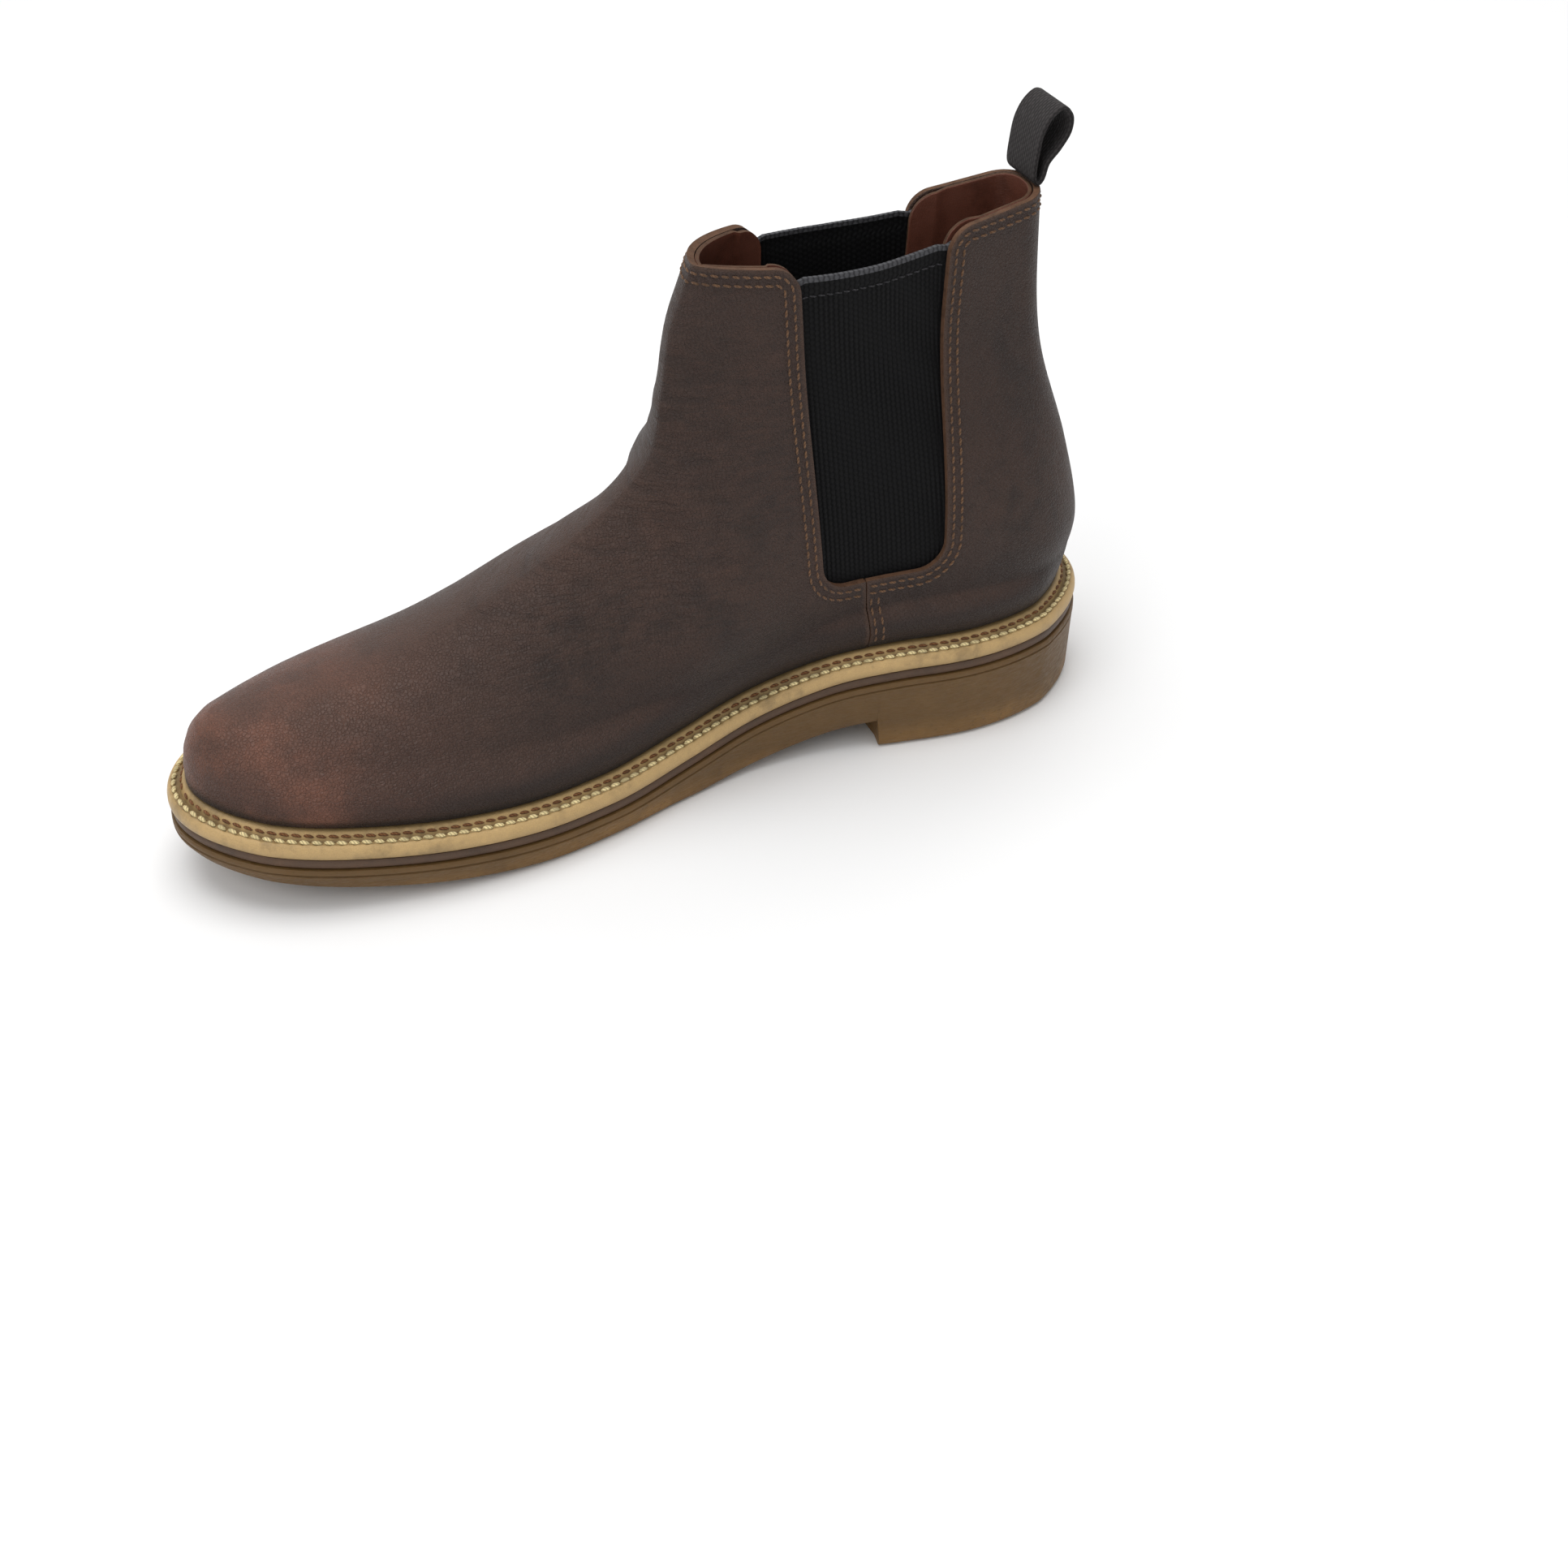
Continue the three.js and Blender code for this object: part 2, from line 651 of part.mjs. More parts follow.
const inFront = (i, j) => i < goreFront || (i < seamFront && j < goreRow);
const inBack = (i, j) => i >= goreBack || (i > seamFront && j < goreRow);
const inGore = (i, j) =>
  i >= underlapFront && i < underlapBack && j >= underlapRow && j < goreTopRow;

const makeVamp = () => sheet((side, i, j) => inFront(i, j), () => 0, leather);
const makeQuarter = () => sheet((side, i, j) => inBack(i, j), () => 0, leather);
const makeGore = (which) =>
  sheet((side, i, j) => side === which && inGore(i, j), () => underLeather, lining);
const makeVampLining = () =>
  sheet(
    (side, i, j) => i < underlapFront - 1 || (i < seamFront && j < underlapRow - 1),
    liningDepth,
    lining,
  );
const makeQuarterLining = () =>
  sheet(
    (side, i, j) => i > underlapBack || (i > seamFront && j < underlapRow - 1),
    liningDepth,
    lining,
  );
const makeToePuff = () =>
  sheet((side, i, j) => i < puffColumns && j < puffRow, () => underLeather, reinforcement);
const makeHeelCounter = () =>
  sheet((side, i, j) => i >= counterColumn && j < counterRow, () => underLeather, reinforcement);
const makeSizeLabel = () =>
  sheet(
    (side, i, j) => i >= backColumn - 2 && j >= goreRow + 2 && j < goreRow + 4,
    () => underLeather + lining + clearance,
    labelThickness,
  );

// A thread laid on the leather along a chain of net places [side, column, row], each of them a number
// that may lie between two lines.
function thread(chain) {
  const at = ([side, i, j], depth) => {
    const [i0, j0] = [Math.min(Math.floor(i), backColumn - 1), Math.min(Math.floor(j), topRow - 1)];
    const [across, up] = [i - i0, j - j0];
    const near = netPoint(side, i0, j0, depth);
    const far = netPoint(side, i0 + 1, j0 + 1, depth);
    // Each cell is two flat faces that meet along its diagonal.
    if (across > up) {
      const corner = netPoint(side, i0 + 1, j0, depth);
      return near.lerp(corner, across).addScaledVector(far.sub(corner), up);
    }
    const corner = netPoint(side, i0, j0 + 1, depth);
    return near.lerp(corner, up).addScaledVector(far.sub(corner), across);
  };
  const low = chain.map((place) => at(place, -clearance));
  const high = chain.map((place) => at(place, -clearance - threadWidth));
  return loft(
    low.map((p, k) => {
      const before = low[Math.max(k - 1, 0)];
      const after = low[Math.min(k + 1, low.length - 1)];
      const up = high[k].clone().sub(p).normalize();
      const aside = after.clone().sub(before).cross(up).normalize().multiplyScalar(threadWidth / 2);
      return [
        p.clone().sub(aside),
        p.clone().add(aside),
        high[k].clone().add(aside),
        high[k].clone().sub(aside),
      ];
    }),
  );
}

// The row that lies a distance below the top edge.
function rowBelowTop(distance) {
  const [head, middle, foot] = [topRow, goreTopRow, goreTopRow - 1].map((j) =>
    netPoint(MEDIAL, goreFront, j, 0),
  );
  const headStep = head.distanceTo(middle);
  if (distance < headStep) return topRow - distance / headStep;
  return goreTopRow - (distance - headStep) / middle.distanceTo(foot);
}

// A row of stitches round a panel: up its edge along the gore, over its top edge and down the other side.
// The panel runs from the column of that edge to its middle column, on both sides of the boot.
function makeEdgeThread(edgeColumn, middleColumn, inset) {
  const step = Math.sign(middleColumn - edgeColumn);
  const cellWidth = netPoint(MEDIAL, edgeColumn, goreTopRow, 0).distanceTo(
    netPoint(MEDIAL, edgeColumn + step, goreTopRow, 0),
  );
  const column = edgeColumn + (step * inset) / cellWidth;
  const row = rowBelowTop(inset);
  const acrossCell = column - Math.floor(column);
  const upCell = row - Math.floor(row);
  const half = (side) => {
    const places = [];
    for (let j = goreRow; j < row; j++) {
      places.push([side, column, j]);
      if (j + acrossCell < row) places.push([side, column, j + acrossCell]);
    }
    places.push([side, column, row]);
    for (let i = edgeColumn + step; i !== middleColumn; i += step) {
      places.push([side, i, row], [side, Math.min(i, i + step) + upCell, row]);
    }
    return places;
  };
  return thread([...half(MEDIAL), [MEDIAL, middleColumn, row], ...half(LATERAL).reverse()]);
}
const makeVampThread = (inset) => makeEdgeThread(goreFront, 0, inset);
const makeQuarterThread = (inset) => makeEdgeThread(goreBack, backColumn, inset);

// ---------------------------------------------------------------- sole pieces

const midsoleTop = (share) => weltUnderside(share) - layerGap;
const midsoleBottom = (share) => midsoleTop(share) - midsoleThickness;
const outsoleTop = (share) => midsoleBottom(share) - layerGap;
const insoleBottom = seatHeight;
const insoleTop = (share) => insoleBottom(share) + insoleThickness;
const footbedBottom = (share) => insoleTop(share) + clearance;
const footbedTop = (share) => footbedBottom(share) + footbedThickness;
const insideLining = -(underLeather + lining + reinforcement + clearance + footbedPlay);

const makeOutsole = () => plate(weltReach, soleUnderside, outsoleTop, weltReach - soleTaper);
const makeMidsole = () => plate(weltReach - 0.5, midsoleBottom, midsoleTop);
const makeInsole = () => plate(insideLining, insoleBottom, insoleTop);
const makeFootbed = () =>
  plate(insideLining - footbedBevel, footbedBottom, footbedTop, insideLining);

// The welt's section: rounded outer edge, raised stitch row, groove and inner band under the upper.
const stitchOffset = weltReach - weltStitchInset;
const weltSection = [
  [-weltTuck, 0],
  [weltReach - 0.6, 0],
  [weltReach, 1.4],
  [weltReach, 3.6],
  [weltReach - 0.8, 4.8],
  [stitchOffset + threadWidth, 5],
  [stitchOffset - threadWidth, 5],
  [stitchOffset - 1.8, 4.4],
  [0.6, weltHeight],
  [-weltTuck, weltHeight],
];
const makeWelt = () => edgeRing(weltSection);
const stitchTop = 5 + clearance;
const makeWeltThread = () =>
  edgeRing([
    [stitchOffset - threadWidth / 2, stitchTop],
    [stitchOffset + threadWidth / 2, stitchTop],
    [stitchOffset + threadWidth / 2, stitchTop + threadWidth],
    [stitchOffset - threadWidth / 2, stitchTop + threadWidth],
  ]);

// The spring steel shank bridges the waist, on the midsole.
const shankFrom = 0.5;
const shankSeat = 0.05; // gap between the shank and the welt's underside
const pocketDepth = 1.25; // how far the filler's pocket for the shank is cut through its underside
const shankMid = (y) => lerp(featherX(MEDIAL, shareAt(y)), featherX(LATERAL, shareAt(y)), 0.5);
function shankBar(grow, below) {
  const startY = yAt(shankFrom);
  const steps = 8;
  return loft(
    Array.from({ length: steps + 1 }, (_, k) => {
      const y = lerp(startY - grow, startY + shankLength + grow, k / steps);
      const half = shankWidth / 2 + grow;
      const seat = weltUnderside(shareAt(y)) + shankSeat;
      const low = seat - below;
      const high = seat + shankThickness + grow;
      const x = shankMid(y);
      return [
        new THREE.Vector3(x - half, y, low),
        new THREE.Vector3(x + half, y, low),
        new THREE.Vector3(x + half, y, high),
        new THREE.Vector3(x - half, y, high),
      ];
    }),
  );
}
const makeShank = () => shankBar(0, 0);
const makeFiller = () =>
  cut(
    plate(
      -weltTuck - clearance,
      (share) => weltUnderside(share),
      (share) => weltUnderside(share) + weltHeight,
    ),
    shankBar(clearance, pocketDepth),
  );

// ---------------------------------------------------------------- pull loop

// A closed band of webbing: two strands that meet over the back edge, round a drop-shaped finger gap.
const foldGap = 0.5; // inner radius of the fold at its foot
const loopTurn = foldGap + loopThickness; // outer radius of that fold, on the hinge line
const loopY = backYAt(backHeight) - (leather + lining + clearance) / 2;
const loopZ = backHeight + clearance + loopTurn;
const loopX = middleX(1) - 1;
function makePullLoop() {
  const foot = loopTurn - loopThickness / 2;
  // The band's middle line in side view, as places and shares of the loop's height.
  const line = [
    [-foot, 0],
    [-0.7, 0.4],
    [0.6, 0.68],
    [3.4, 0.9],
    [6.9, 1],
    [9.6, 0.88],
    [9.5, 0.66],
    [6.4, 0.42],
    [2.8, 0.22],
    [foot, 0],
    [0, -foot / loopHeight],
  ];
  const curve = new THREE.CatmullRomCurve3(
    line.map(([y, share]) => new THREE.Vector3(0, y, share * loopHeight)),
    true,
    "centripetal",
  );
  const steps = 30;
  const sections = Array.from({ length: steps }, (_, k) => {
    const p = curve.getPoint(k / steps);
    const t = curve.getTangent(k / steps);
    const out = new THREE.Vector3(0, -t.z, t.y).multiplyScalar(loopThickness / 2);
    const edge = (x, sign) =>
      new THREE.Vector3(x, loopY + p.y + sign * out.y, loopZ + p.z + sign * out.z);
    const [left, right] = [loopX - loopWidth / 2, loopX + loopWidth / 2];
    return [edge(left, 1), edge(right, 1), edge(right, -1), edge(left, -1)];
  });
  return loft(sections, true);
}

// ---------------------------------------------------------------- materials and assembly

const material = (color, roughness, metalness = 0) =>
  new THREE.MeshStandardMaterial({ color, roughness, metalness });
const brownLeather = 0x3f2c25;
const liningLeather = 0x5a3122;
const gumRubber = 0x7a5630;
const tanThread = 0xa58a5a;

const pieces = [
  ["outsole", makeOutsole(), material(gumRubber, 0.6)],
  ["midsole", makeMidsole(), material(0x3a281c, 0.7)],
  ["welt", makeWelt(), material(0xb08a54, 0.65)],
  ["welt_thread", makeWeltThread(), material(0xe0cf9c, 0.8)],
  ["cork_filler", makeFiller(), material(0xa9794a, 0.95)],
  ["shank", makeShank(), material(0x9a9a9c, 0.35, 1)],
  ["insole_board", makeInsole(), material(0xb89a72, 0.85)],
  ["footbed", makeFootbed(), material(0x4a2e20, 0.7)],
  ["vamp", makeVamp(), material(brownLeather, 0.6)],
  ["quarter", makeQuarter(), material(brownLeather, 0.6)],
  ["gore_medial", makeGore(MEDIAL), material(0x151515, 0.9)],
  ["gore_lateral", makeGore(LATERAL), material(0x151515, 0.9)],
  ["vamp_lining", makeVampLining(), material(liningLeather, 0.6)],
  ["quarter_lining", makeQuarterLining(), material(liningLeather, 0.6)],
  ["toe_puff", makeToePuff(), material(0xd8d0c0, 0.8)],
  ["heel_counter", makeHeelCounter(), material(0xcdbb98, 0.8)],
  ["size_label", makeSizeLabel(), material(0x1b1c2c, 0.8)],
  ["vamp_thread_outer", makeVampThread(edgeStitchInset), material(tanThread, 0.8)],
  ["vamp_thread_inner", makeVampThread(edgeStitchInset + edgeStitchSpacing), material(tanThread, 0.8)],
  ["quarter_thread_outer", makeQuarterThread(edgeStitchInset), material(tanThread, 0.8)],
  [
    "quarter_thread_inner",
    makeQuarterThread(edgeStitchInset + edgeStitchSpacing),
    material(tanThread, 0.8),
  ],
  ["pull_loop", makePullLoop(), material(0x1f1815, 0.85)],
];

const boot = new THREE.Group();
for (const [name, geometry, look] of pieces) {
  const mesh = new THREE.Mesh(geometry, look);
  mesh.name = name;
  boot.add(mesh);
}

// The origin is the middle of the boot's footprint, on the floor.
const footprint = new THREE.Box3().setFromObject(boot);
const middle = footprint.getCenter(new THREE.Vector3());
boot.position.set(-middle.x, -middle.y, -footprint.min.z);

export default boot;
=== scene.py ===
"""Builds the leather, elastic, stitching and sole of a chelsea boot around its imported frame."""

import math

import bpy
import numpy as np
from bpy.props import FloatProperty, FloatVectorProperty, PointerProperty
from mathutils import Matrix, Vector
from mathutils.kdtree import KDTree


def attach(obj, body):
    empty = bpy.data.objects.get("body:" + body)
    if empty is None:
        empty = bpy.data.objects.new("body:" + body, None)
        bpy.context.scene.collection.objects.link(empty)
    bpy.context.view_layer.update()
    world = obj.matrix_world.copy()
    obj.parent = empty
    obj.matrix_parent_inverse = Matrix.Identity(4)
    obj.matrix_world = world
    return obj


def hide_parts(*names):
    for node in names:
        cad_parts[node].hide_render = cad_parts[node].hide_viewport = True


bl_info = {
    "name": "Chelsea Boot",
    "version": (1, 0, 0),
    "blender": (4, 5, 0),
    "location": "View3D > Sidebar > Boot",
    "description": "Builds a chelsea boot's leather, elastic, stitching and sole around its frame",
    "category": "Object",
}

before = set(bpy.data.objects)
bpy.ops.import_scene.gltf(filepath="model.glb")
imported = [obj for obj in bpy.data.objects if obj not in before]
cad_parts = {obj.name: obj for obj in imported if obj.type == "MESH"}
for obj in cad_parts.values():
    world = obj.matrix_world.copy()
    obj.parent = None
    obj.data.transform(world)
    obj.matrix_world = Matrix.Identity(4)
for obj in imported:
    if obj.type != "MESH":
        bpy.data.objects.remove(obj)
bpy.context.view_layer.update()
MM = 0.001
MEDIAL, LATERAL = 1, -1
SIDES = (MEDIAL, LATERAL)

# ------------------------------------------------------------------ the boot's sizes, in millimetres

SOLE_LENGTH = 300
SOLE_WIDTH = 108
WELT_REACH = 6
WELT_TUCK = 8
WELT_HEIGHT = 6.8
MIDSOLE_THICKNESS = 3
SOLE_THICKNESS = 13
TOE_SOLE_THICKNESS = 10
TOE_SPRING = 11
HEEL_LIFT = 16
WAIST_RISE = 9.5
SOLE_TAPER = 1.2
TOE_BOX_HEIGHT = 52
TOE_WALL_REACH = 15.8
INSTEP_HEIGHT = 106
SHAFT_HEIGHT = 162
FRONT_HEIGHT = SHAFT_HEIGHT + 4
BACK_HEIGHT = SHAFT_HEIGHT + 6.5
ANKLE_WIDTH = 73
SHAFT_WIDTH = 40
SHAFT_BACK_WIDTH = 25
HEEL_BULGE = 2
BACK_LEAN = 14.5
LEATHER = 2.2
LINING = 1.2
REINFORCEMENT = 1.2
CLEARANCE = 0.3
LAYER_GAP = 0.4
SEAT_GAP = 0.7
FOOTBED_PLAY = 2.6
GORE_FOOT_RISE = 27.5
GORE_DROP = 4
GORE_UNDERLAP = 8
SIDE_SEAM_SETBACK = 14
INSOLE_THICKNESS = 2.5
FOOTBED_THICKNESS = 4
LABEL_THICKNESS = 0.6
LOOP_WIDTH = 18
LOOP_HEIGHT = 20.5
LOOP_THICKNESS = 1.5
LOOP_SINK = 0.3  # the webbing beds into the soft edge that it is sewn to
TOP_CORNER = 7.5  # radius of the leather's corners beside the gore's top
FOOT_CORNER = 8.5  # radius of the opening's corners at the gore's foot
ROW_INSETS = (2.2, 4.8)  # the two rows of stitches, from the cut edge
LINING_SEAM_DROP = 25  # seam across the back lining, below the top edge
LOOP_RIB_PITCH = 1.1
LOOP_RIB_HEIGHT = 0.07
LOOP_EDGE_ROUND = 0.8  # width of the webbing's rounded edges
TREAD_PITCH = 8.5
TREAD_WAVE = 2.2  # how far the tread's bars sway along the sole
PRICK_DEPTH = 0.55  # dents in the welt between its stitches
GORE_RIB_RELIEF = 0.1
HEM_DEPTH = 5  # turned top edge of the gores

# ------------------------------------------------------------------ curves and lookups


def lerp(a, b, t):
    return a + (b - a) * t


def smoothstep(x, low, high):
    t = np.clip((x - low) / (high - low), 0, 1)
    return t * t * (3 - 2 * t)


def smooth_path(points, closed=False, per_span=16):
    """A centripetal Catmull-Rom curve through points, as a dense row of points."""
    pts = np.asarray(points, float)
    if closed:
        padded = np.vstack([pts[-1:], pts, pts[:2]])
    else:
        padded = np.vstack([2 * pts[:1] - pts[1:2], pts, 2 * pts[-1:] - pts[-2:-1]])
    t = np.linspace(0, 1, per_span, endpoint=False)[:, None]
    spans = []
    for k in range(len(padded) - 3):
        p0, p1, p2, p3 = padded[k : k + 4]
        d0, d1, d2 = (math.sqrt(np.linalg.norm(b - a)) for a, b in ((p0, p1), (p1, p2), (p2, p3)))
        t1 = ((p1 - p0) / d0 - (p2 - p0) / (d0 + d1) + (p2 - p1) / d1) * d1
        t2 = ((p2 - p1) / d1 - (p3 - p1) / (d1 + d2) + (p3 - p2) / d2) * d1
        spans.append(
            p1 + t1 * t + (3 * (p2 - p1) - 2 * t1 - t2) * t**2 + (2 * (p1 - p2) + t1 + t2) * t**3
        )
    return np.vstack(spans if closed else spans + [pts[-1:]])


def reader(table):
    path = smooth_path(table)
    return lambda a: np.interp(a, path[:, 0], path[:, 1])


def arc_lengths(points):
    steps = np.linalg.norm(np.diff(points, axis=0), axis=1)
    return np.concatenate([[0], np.cumsum(steps)])


def resample(points, places):
    """Points of a polyline at given distances along it, for every column that the points have."""
    run = arc_lengths(points[:, :3])
    return np.column_stack([np.interp(places, run, points[:, k]) for k in range(points.shape[1])])


def rounded(distance, reach, power):
    return (1 - (1 - np.clip(distance / reach, 0, 1)) ** power) ** (1 / power)


def unit(v):
    return v / np.maximum(np.linalg.norm(v, axis=-1, keepdims=True), 1e-9)


# ------------------------------------------------------------------ the sole's outline and heights

FEATHER_LENGTH = SOLE_LENGTH - 2 * WELT_REACH
FEATHER_WIDTH = SOLE_WIDTH - 2 * WELT_REACH
HALF_WIDTHS = [
    (0.061, 0.265, 0.302),
    (0.148, 0.355, 0.456),
    (0.235, 0.395, 0.546),
    (0.321, 0.396, 0.604),
    (0.408, 0.352, 0.622),
    (0.495, 0.279, 0.576),
    (0.582, 0.229, 0.474),
    (0.668, 0.239, 0.368),
    (0.755, 0.295, 0.312),
    (0.842, 0.335, 0.315),
    (0.929, 0.289, 0.295),
]


def y_at(share):
    return (share - 0.5) * FEATHER_LENGTH


def share_at(y):
    return np.clip(y / FEATHER_LENGTH + 0.5, 0, 1)


def round_ends(share):
    return 2 * np.sqrt(np.clip(share * (1 - share), 0, 1))


FULLNESS = {
    MEDIAL: reader([(s, medial / round_ends(s)) for s, medial, _ in HALF_WIDTHS]),
    LATERAL: reader([(s, lateral / round_ends(s)) for s, _, lateral in HALF_WIDTHS]),
}


def feather_x(side, share):
    return lerp(9.5, -0.5, share) + side * FEATHER_WIDTH * FULLNESS[side](share) * round_ends(share)


def share_of(turn):
    return (1 - np.cos(turn)) / 2


def edge_point(side, turn, offset):
    """Points of an outline beside the feather line. turn runs from 0 at the toe to pi at the heel."""
    step = 0.01

    def at(a):
        share = share_of(a)
        return np.stack([feather_x(side, share), y_at(share)], axis=-1)

    along = at(np.minimum(turn + step, math.pi)) - at(np.maximum(turn - step, 0))
    out = unit(np.stack([side * along[..., 1], -side * along[..., 0]], axis=-1))
    return at(turn) + out * offset


def toe_curve(share):
    return np.maximum(0, (0.36 - share) / 0.36) ** 1.6


def welt_underside(share):
    return SOLE_THICKNESS + TOE_SPRING * toe_curve(share) + HEEL_LIFT * smoothstep(share, 0.4, 0.78)


def seat_height(share):
    return welt_underside(share) + WELT_HEIGHT + SEAT_GAP


BREAST_SHARE = 0.733


def sole_underside(share):
    toe_rise = TOE_SPRING + SOLE_THICKNESS - TOE_SOLE_THICKNESS
    front = toe_rise * toe_curve(share) + WAIST_RISE * smoothstep(share, 0.5, 0.75)
    return np.where(share > BREAST_SHARE, 0, front)


def footprint_middle():
    turns = np.linspace(0.06, math.pi - 0.06, 90)
    outline = np.vstack([edge_point(side, turns, WELT_REACH) for side in SIDES])
    return (outline.min(0) + outline.max(0)) / 2


SHIFT = np.array([*-footprint_middle(), 0.0])


def placed(points):
    """Millimetres about the foot's own axis, as metres in the frame."""
    return (np.asarray(points, float) + SHIFT) * MM


# ------------------------------------------------------------------ the upper's surface


def front_line():
    knee = TOE_WALL_REACH / FEATHER_LENGTH
    seat = float(seat_height(0))
    wall = []
    for k in range(7):
        a = k / 7 * math.pi / 2
        wall.append((knee * (1 - math.cos(a) ** 0.8), lerp(seat, TOE_BOX_HEIGHT, math.sin(a) ** 0.8)))
    line = wall + [
        (knee, TOE_BOX_HEIGHT),
        (0.17, lerp(TOE_BOX_HEIGHT, INSTEP_HEIGHT, 0.1)),
        (0.29, lerp(TOE_BOX_HEIGHT, INSTEP_HEIGHT, 0.3)),
        (0.413, lerp(TOE_BOX_HEIGHT, INSTEP_HEIGHT, 0.63)),
        (0.498, INSTEP_HEIGHT),
        (0.517, lerp(INSTEP_HEIGHT, FRONT_HEIGHT, 0.32)),
        (0.53, lerp(INSTEP_HEIGHT, FRONT_HEIGHT, 0.65)),
        (0.557, FRONT_HEIGHT),
    ]
    path = smooth_path([(y_at(share), z) for share, z in line])
    run = arc_lengths(path)
    even = np.linspace(0, run[-1], 301)
    return np.column_stack([np.interp(even, run, path[:, k]) for k in range(2)])


FRONT = front_line()
FRONT_RUN = arc_lengths(FRONT)
FRONT_TOP_Y = FRONT[-1, 0]


def front_height_at(y):
    inside = np.interp(y, FRONT[:, 0], FRONT[:, 1])
    return np.where(y >= FRONT_TOP_Y, FRONT_HEIGHT + (y - FRONT_TOP_Y) * 14, inside)


def front_y_at(z):
    return np.interp(z, np.maximum.accumulate(FRONT[:, 1]), FRONT[:, 0])


HEEL_Y = y_at(1)
HEEL_SEAT = float(seat_height(1))
back_y_at = reader([
    (HEEL_SEAT - 10, HEEL_Y),
    (HEEL_SEAT, HEEL_Y),
    (HEEL_SEAT + 24, HEEL_Y + HEEL_BULGE),
    (lerp(HEEL_SEAT, BACK_HEIGHT, 0.38), HEEL_Y - BACK_LEAN * 0.2),
    (lerp(HEEL_SEAT, BACK_HEIGHT, 0.64), HEEL_Y - BACK_LEAN * 0.85),
    (BACK_HEIGHT, HEEL_Y - BACK_LEAN),
    (BACK_HEIGHT + 20, HEEL_Y - BACK_LEAN),
])
middle_x = reader([(0, 9.5), (0.29, 12), (0.56, 12.5), (0.71, 3), (0.88, -1), (1, -0.5)])
ANKLE_HALF = {
    MEDIAL: reader([(0.3, 0.54), (0.535, 0.54), (0.69, 0.42), (0.865, 0.465), (1, 0.465)]),
    LATERAL: reader([(0.3, 0.66), (0.535, 0.66), (0.69, 0.5), (0.865, 0.53), (1, 0.53)]),
}
TOP_HALF = {
    MEDIAL: reader([(0.3, 0.56), (0.674, 0.56), (0.83, 0.48), (1, 0.48)]),
    LATERAL: reader([(0.3, 0.46), (0.674, 0.46), (0.83, 0.44), (1, 0.44)]),
}
ANKLE_LEVEL = 0.22


def upper_x(side, y, z):
    """Sideways place of the upper's outer face over points of the side view."""
    share = share_at(y)
    seat = seat_height(share)
    height = np.clip((z - seat) / (SHAFT_HEIGHT - seat), 0, 1)
    front = front_height_at(y)
    over = np.clip((front - z) / (front - seat + 1e-6), 0, 1)
    behind = np.clip((y - front_y_at(z)) / 52, 0, 1)
    shaft = smoothstep(z, INSTEP_HEIGHT - 21, INSTEP_HEIGHT + 24)
    depth = over ** (1 - shaft) * behind**shaft
    power = lerp(lerp(2, 1.6, smoothstep(share, 0.08, 0.3)), 2, shaft)
    arch = (1 - (1 - depth) ** power) ** (1 / power)

    from_back = np.maximum(0, back_y_at(z) - y)
    shifted = y + (HEEL_Y - back_y_at(z)) * smoothstep(y, -20, 100)
    foot = feather_x(side, share_at(shifted))
    ankle = side * ANKLE_WIDTH * ANKLE_HALF[side](share) * rounded(from_back, 34, 2.2)
    flat_back = SHAFT_BACK_WIDTH / SHAFT_WIDTH
    top_shape = flat_back * rounded(from_back, 9, 2.2)
    top_shape = top_shape + (1 - flat_back) * np.clip(from_back / 57, 0, 1) ** 0.8
    top = side * SHAFT_WIDTH * TOP_HALF[side](share) * top_shape
    leg = lerp(foot, ankle, smoothstep(height, 0, ANKLE_LEVEL))
    leg = lerp(leg, top, smoothstep(height, ANKLE_LEVEL, ANKLE_LEVEL + 0.6))
    wall = lerp(foot, leg, smoothstep(y, -40, 10))
    bulge = 3 * np.sin(np.clip(height / 0.12, 0, 1) * math.pi)
    bulge = bulge * np.clip(from_back / 20, 0, 1) * np.clip(share * 14, 0, 1)
    return middle_x(share) + (wall + side * bulge - middle_x(share)) * arch


def on_upper(side, path):
    """Points of the outer face and directions out of it, over a path of the side view."""
    y, z = path[:, 0], path[:, 1]
    step = 0.3
    x = upper_x(side, y, z)
    slope_y = (upper_x(side, y + step, z) - x) / step
    slope_z = (x - upper_x(side, y, z - step)) / step
    normal = side * np.column_stack([np.ones_like(x), -slope_y, -slope_z])
    return np.column_stack([x, y, z]), unit(normal)


# ------------------------------------------------------------------ the upper's pattern lines, in side view

GORE_FRONT_TOP = np.array([y_at(0.658), SHAFT_HEIGHT + 1])
GORE_BACK_TOP = np.array([y_at(0.83), SHAFT_HEIGHT + 1.5])
FRONT_FOOT_Y = y_at(0.674)
BACK_FOOT_Y = y_at(0.802)
GORE_FOOT_Z = float(seat_height(share_at(FRONT_FOOT_Y))) + GORE_FOOT_RISE
GORE_FRONT_FOOT = np.array([y_at(0.669), GORE_FOOT_Z])
GORE_BACK_FOOT = np.array([y_at(0.806), GORE_FOOT_Z + 0.5])
LEVEL_BACK_Z = GORE_BACK_FOOT[1] + 2
FRONT_SPLIT = int(np.argmax(FRONT[:, 0] >= y_at(0.29)))
topline = reader([
    (FRONT_TOP_Y, FRONT_HEIGHT),
    tuple(GORE_FRONT_TOP),
    ((GORE_FRONT_TOP[0] + GORE_BACK_TOP[0]) / 2, SHAFT_HEIGHT),
    tuple(GORE_BACK_TOP),
    (float(back_y_at(BACK_HEIGHT)), BACK_HEIGHT),
])


def straight(a, b):
    return lambda t: np.asarray(a) + (np.asarray(b) - a) * np.asarray(t)[..., None]


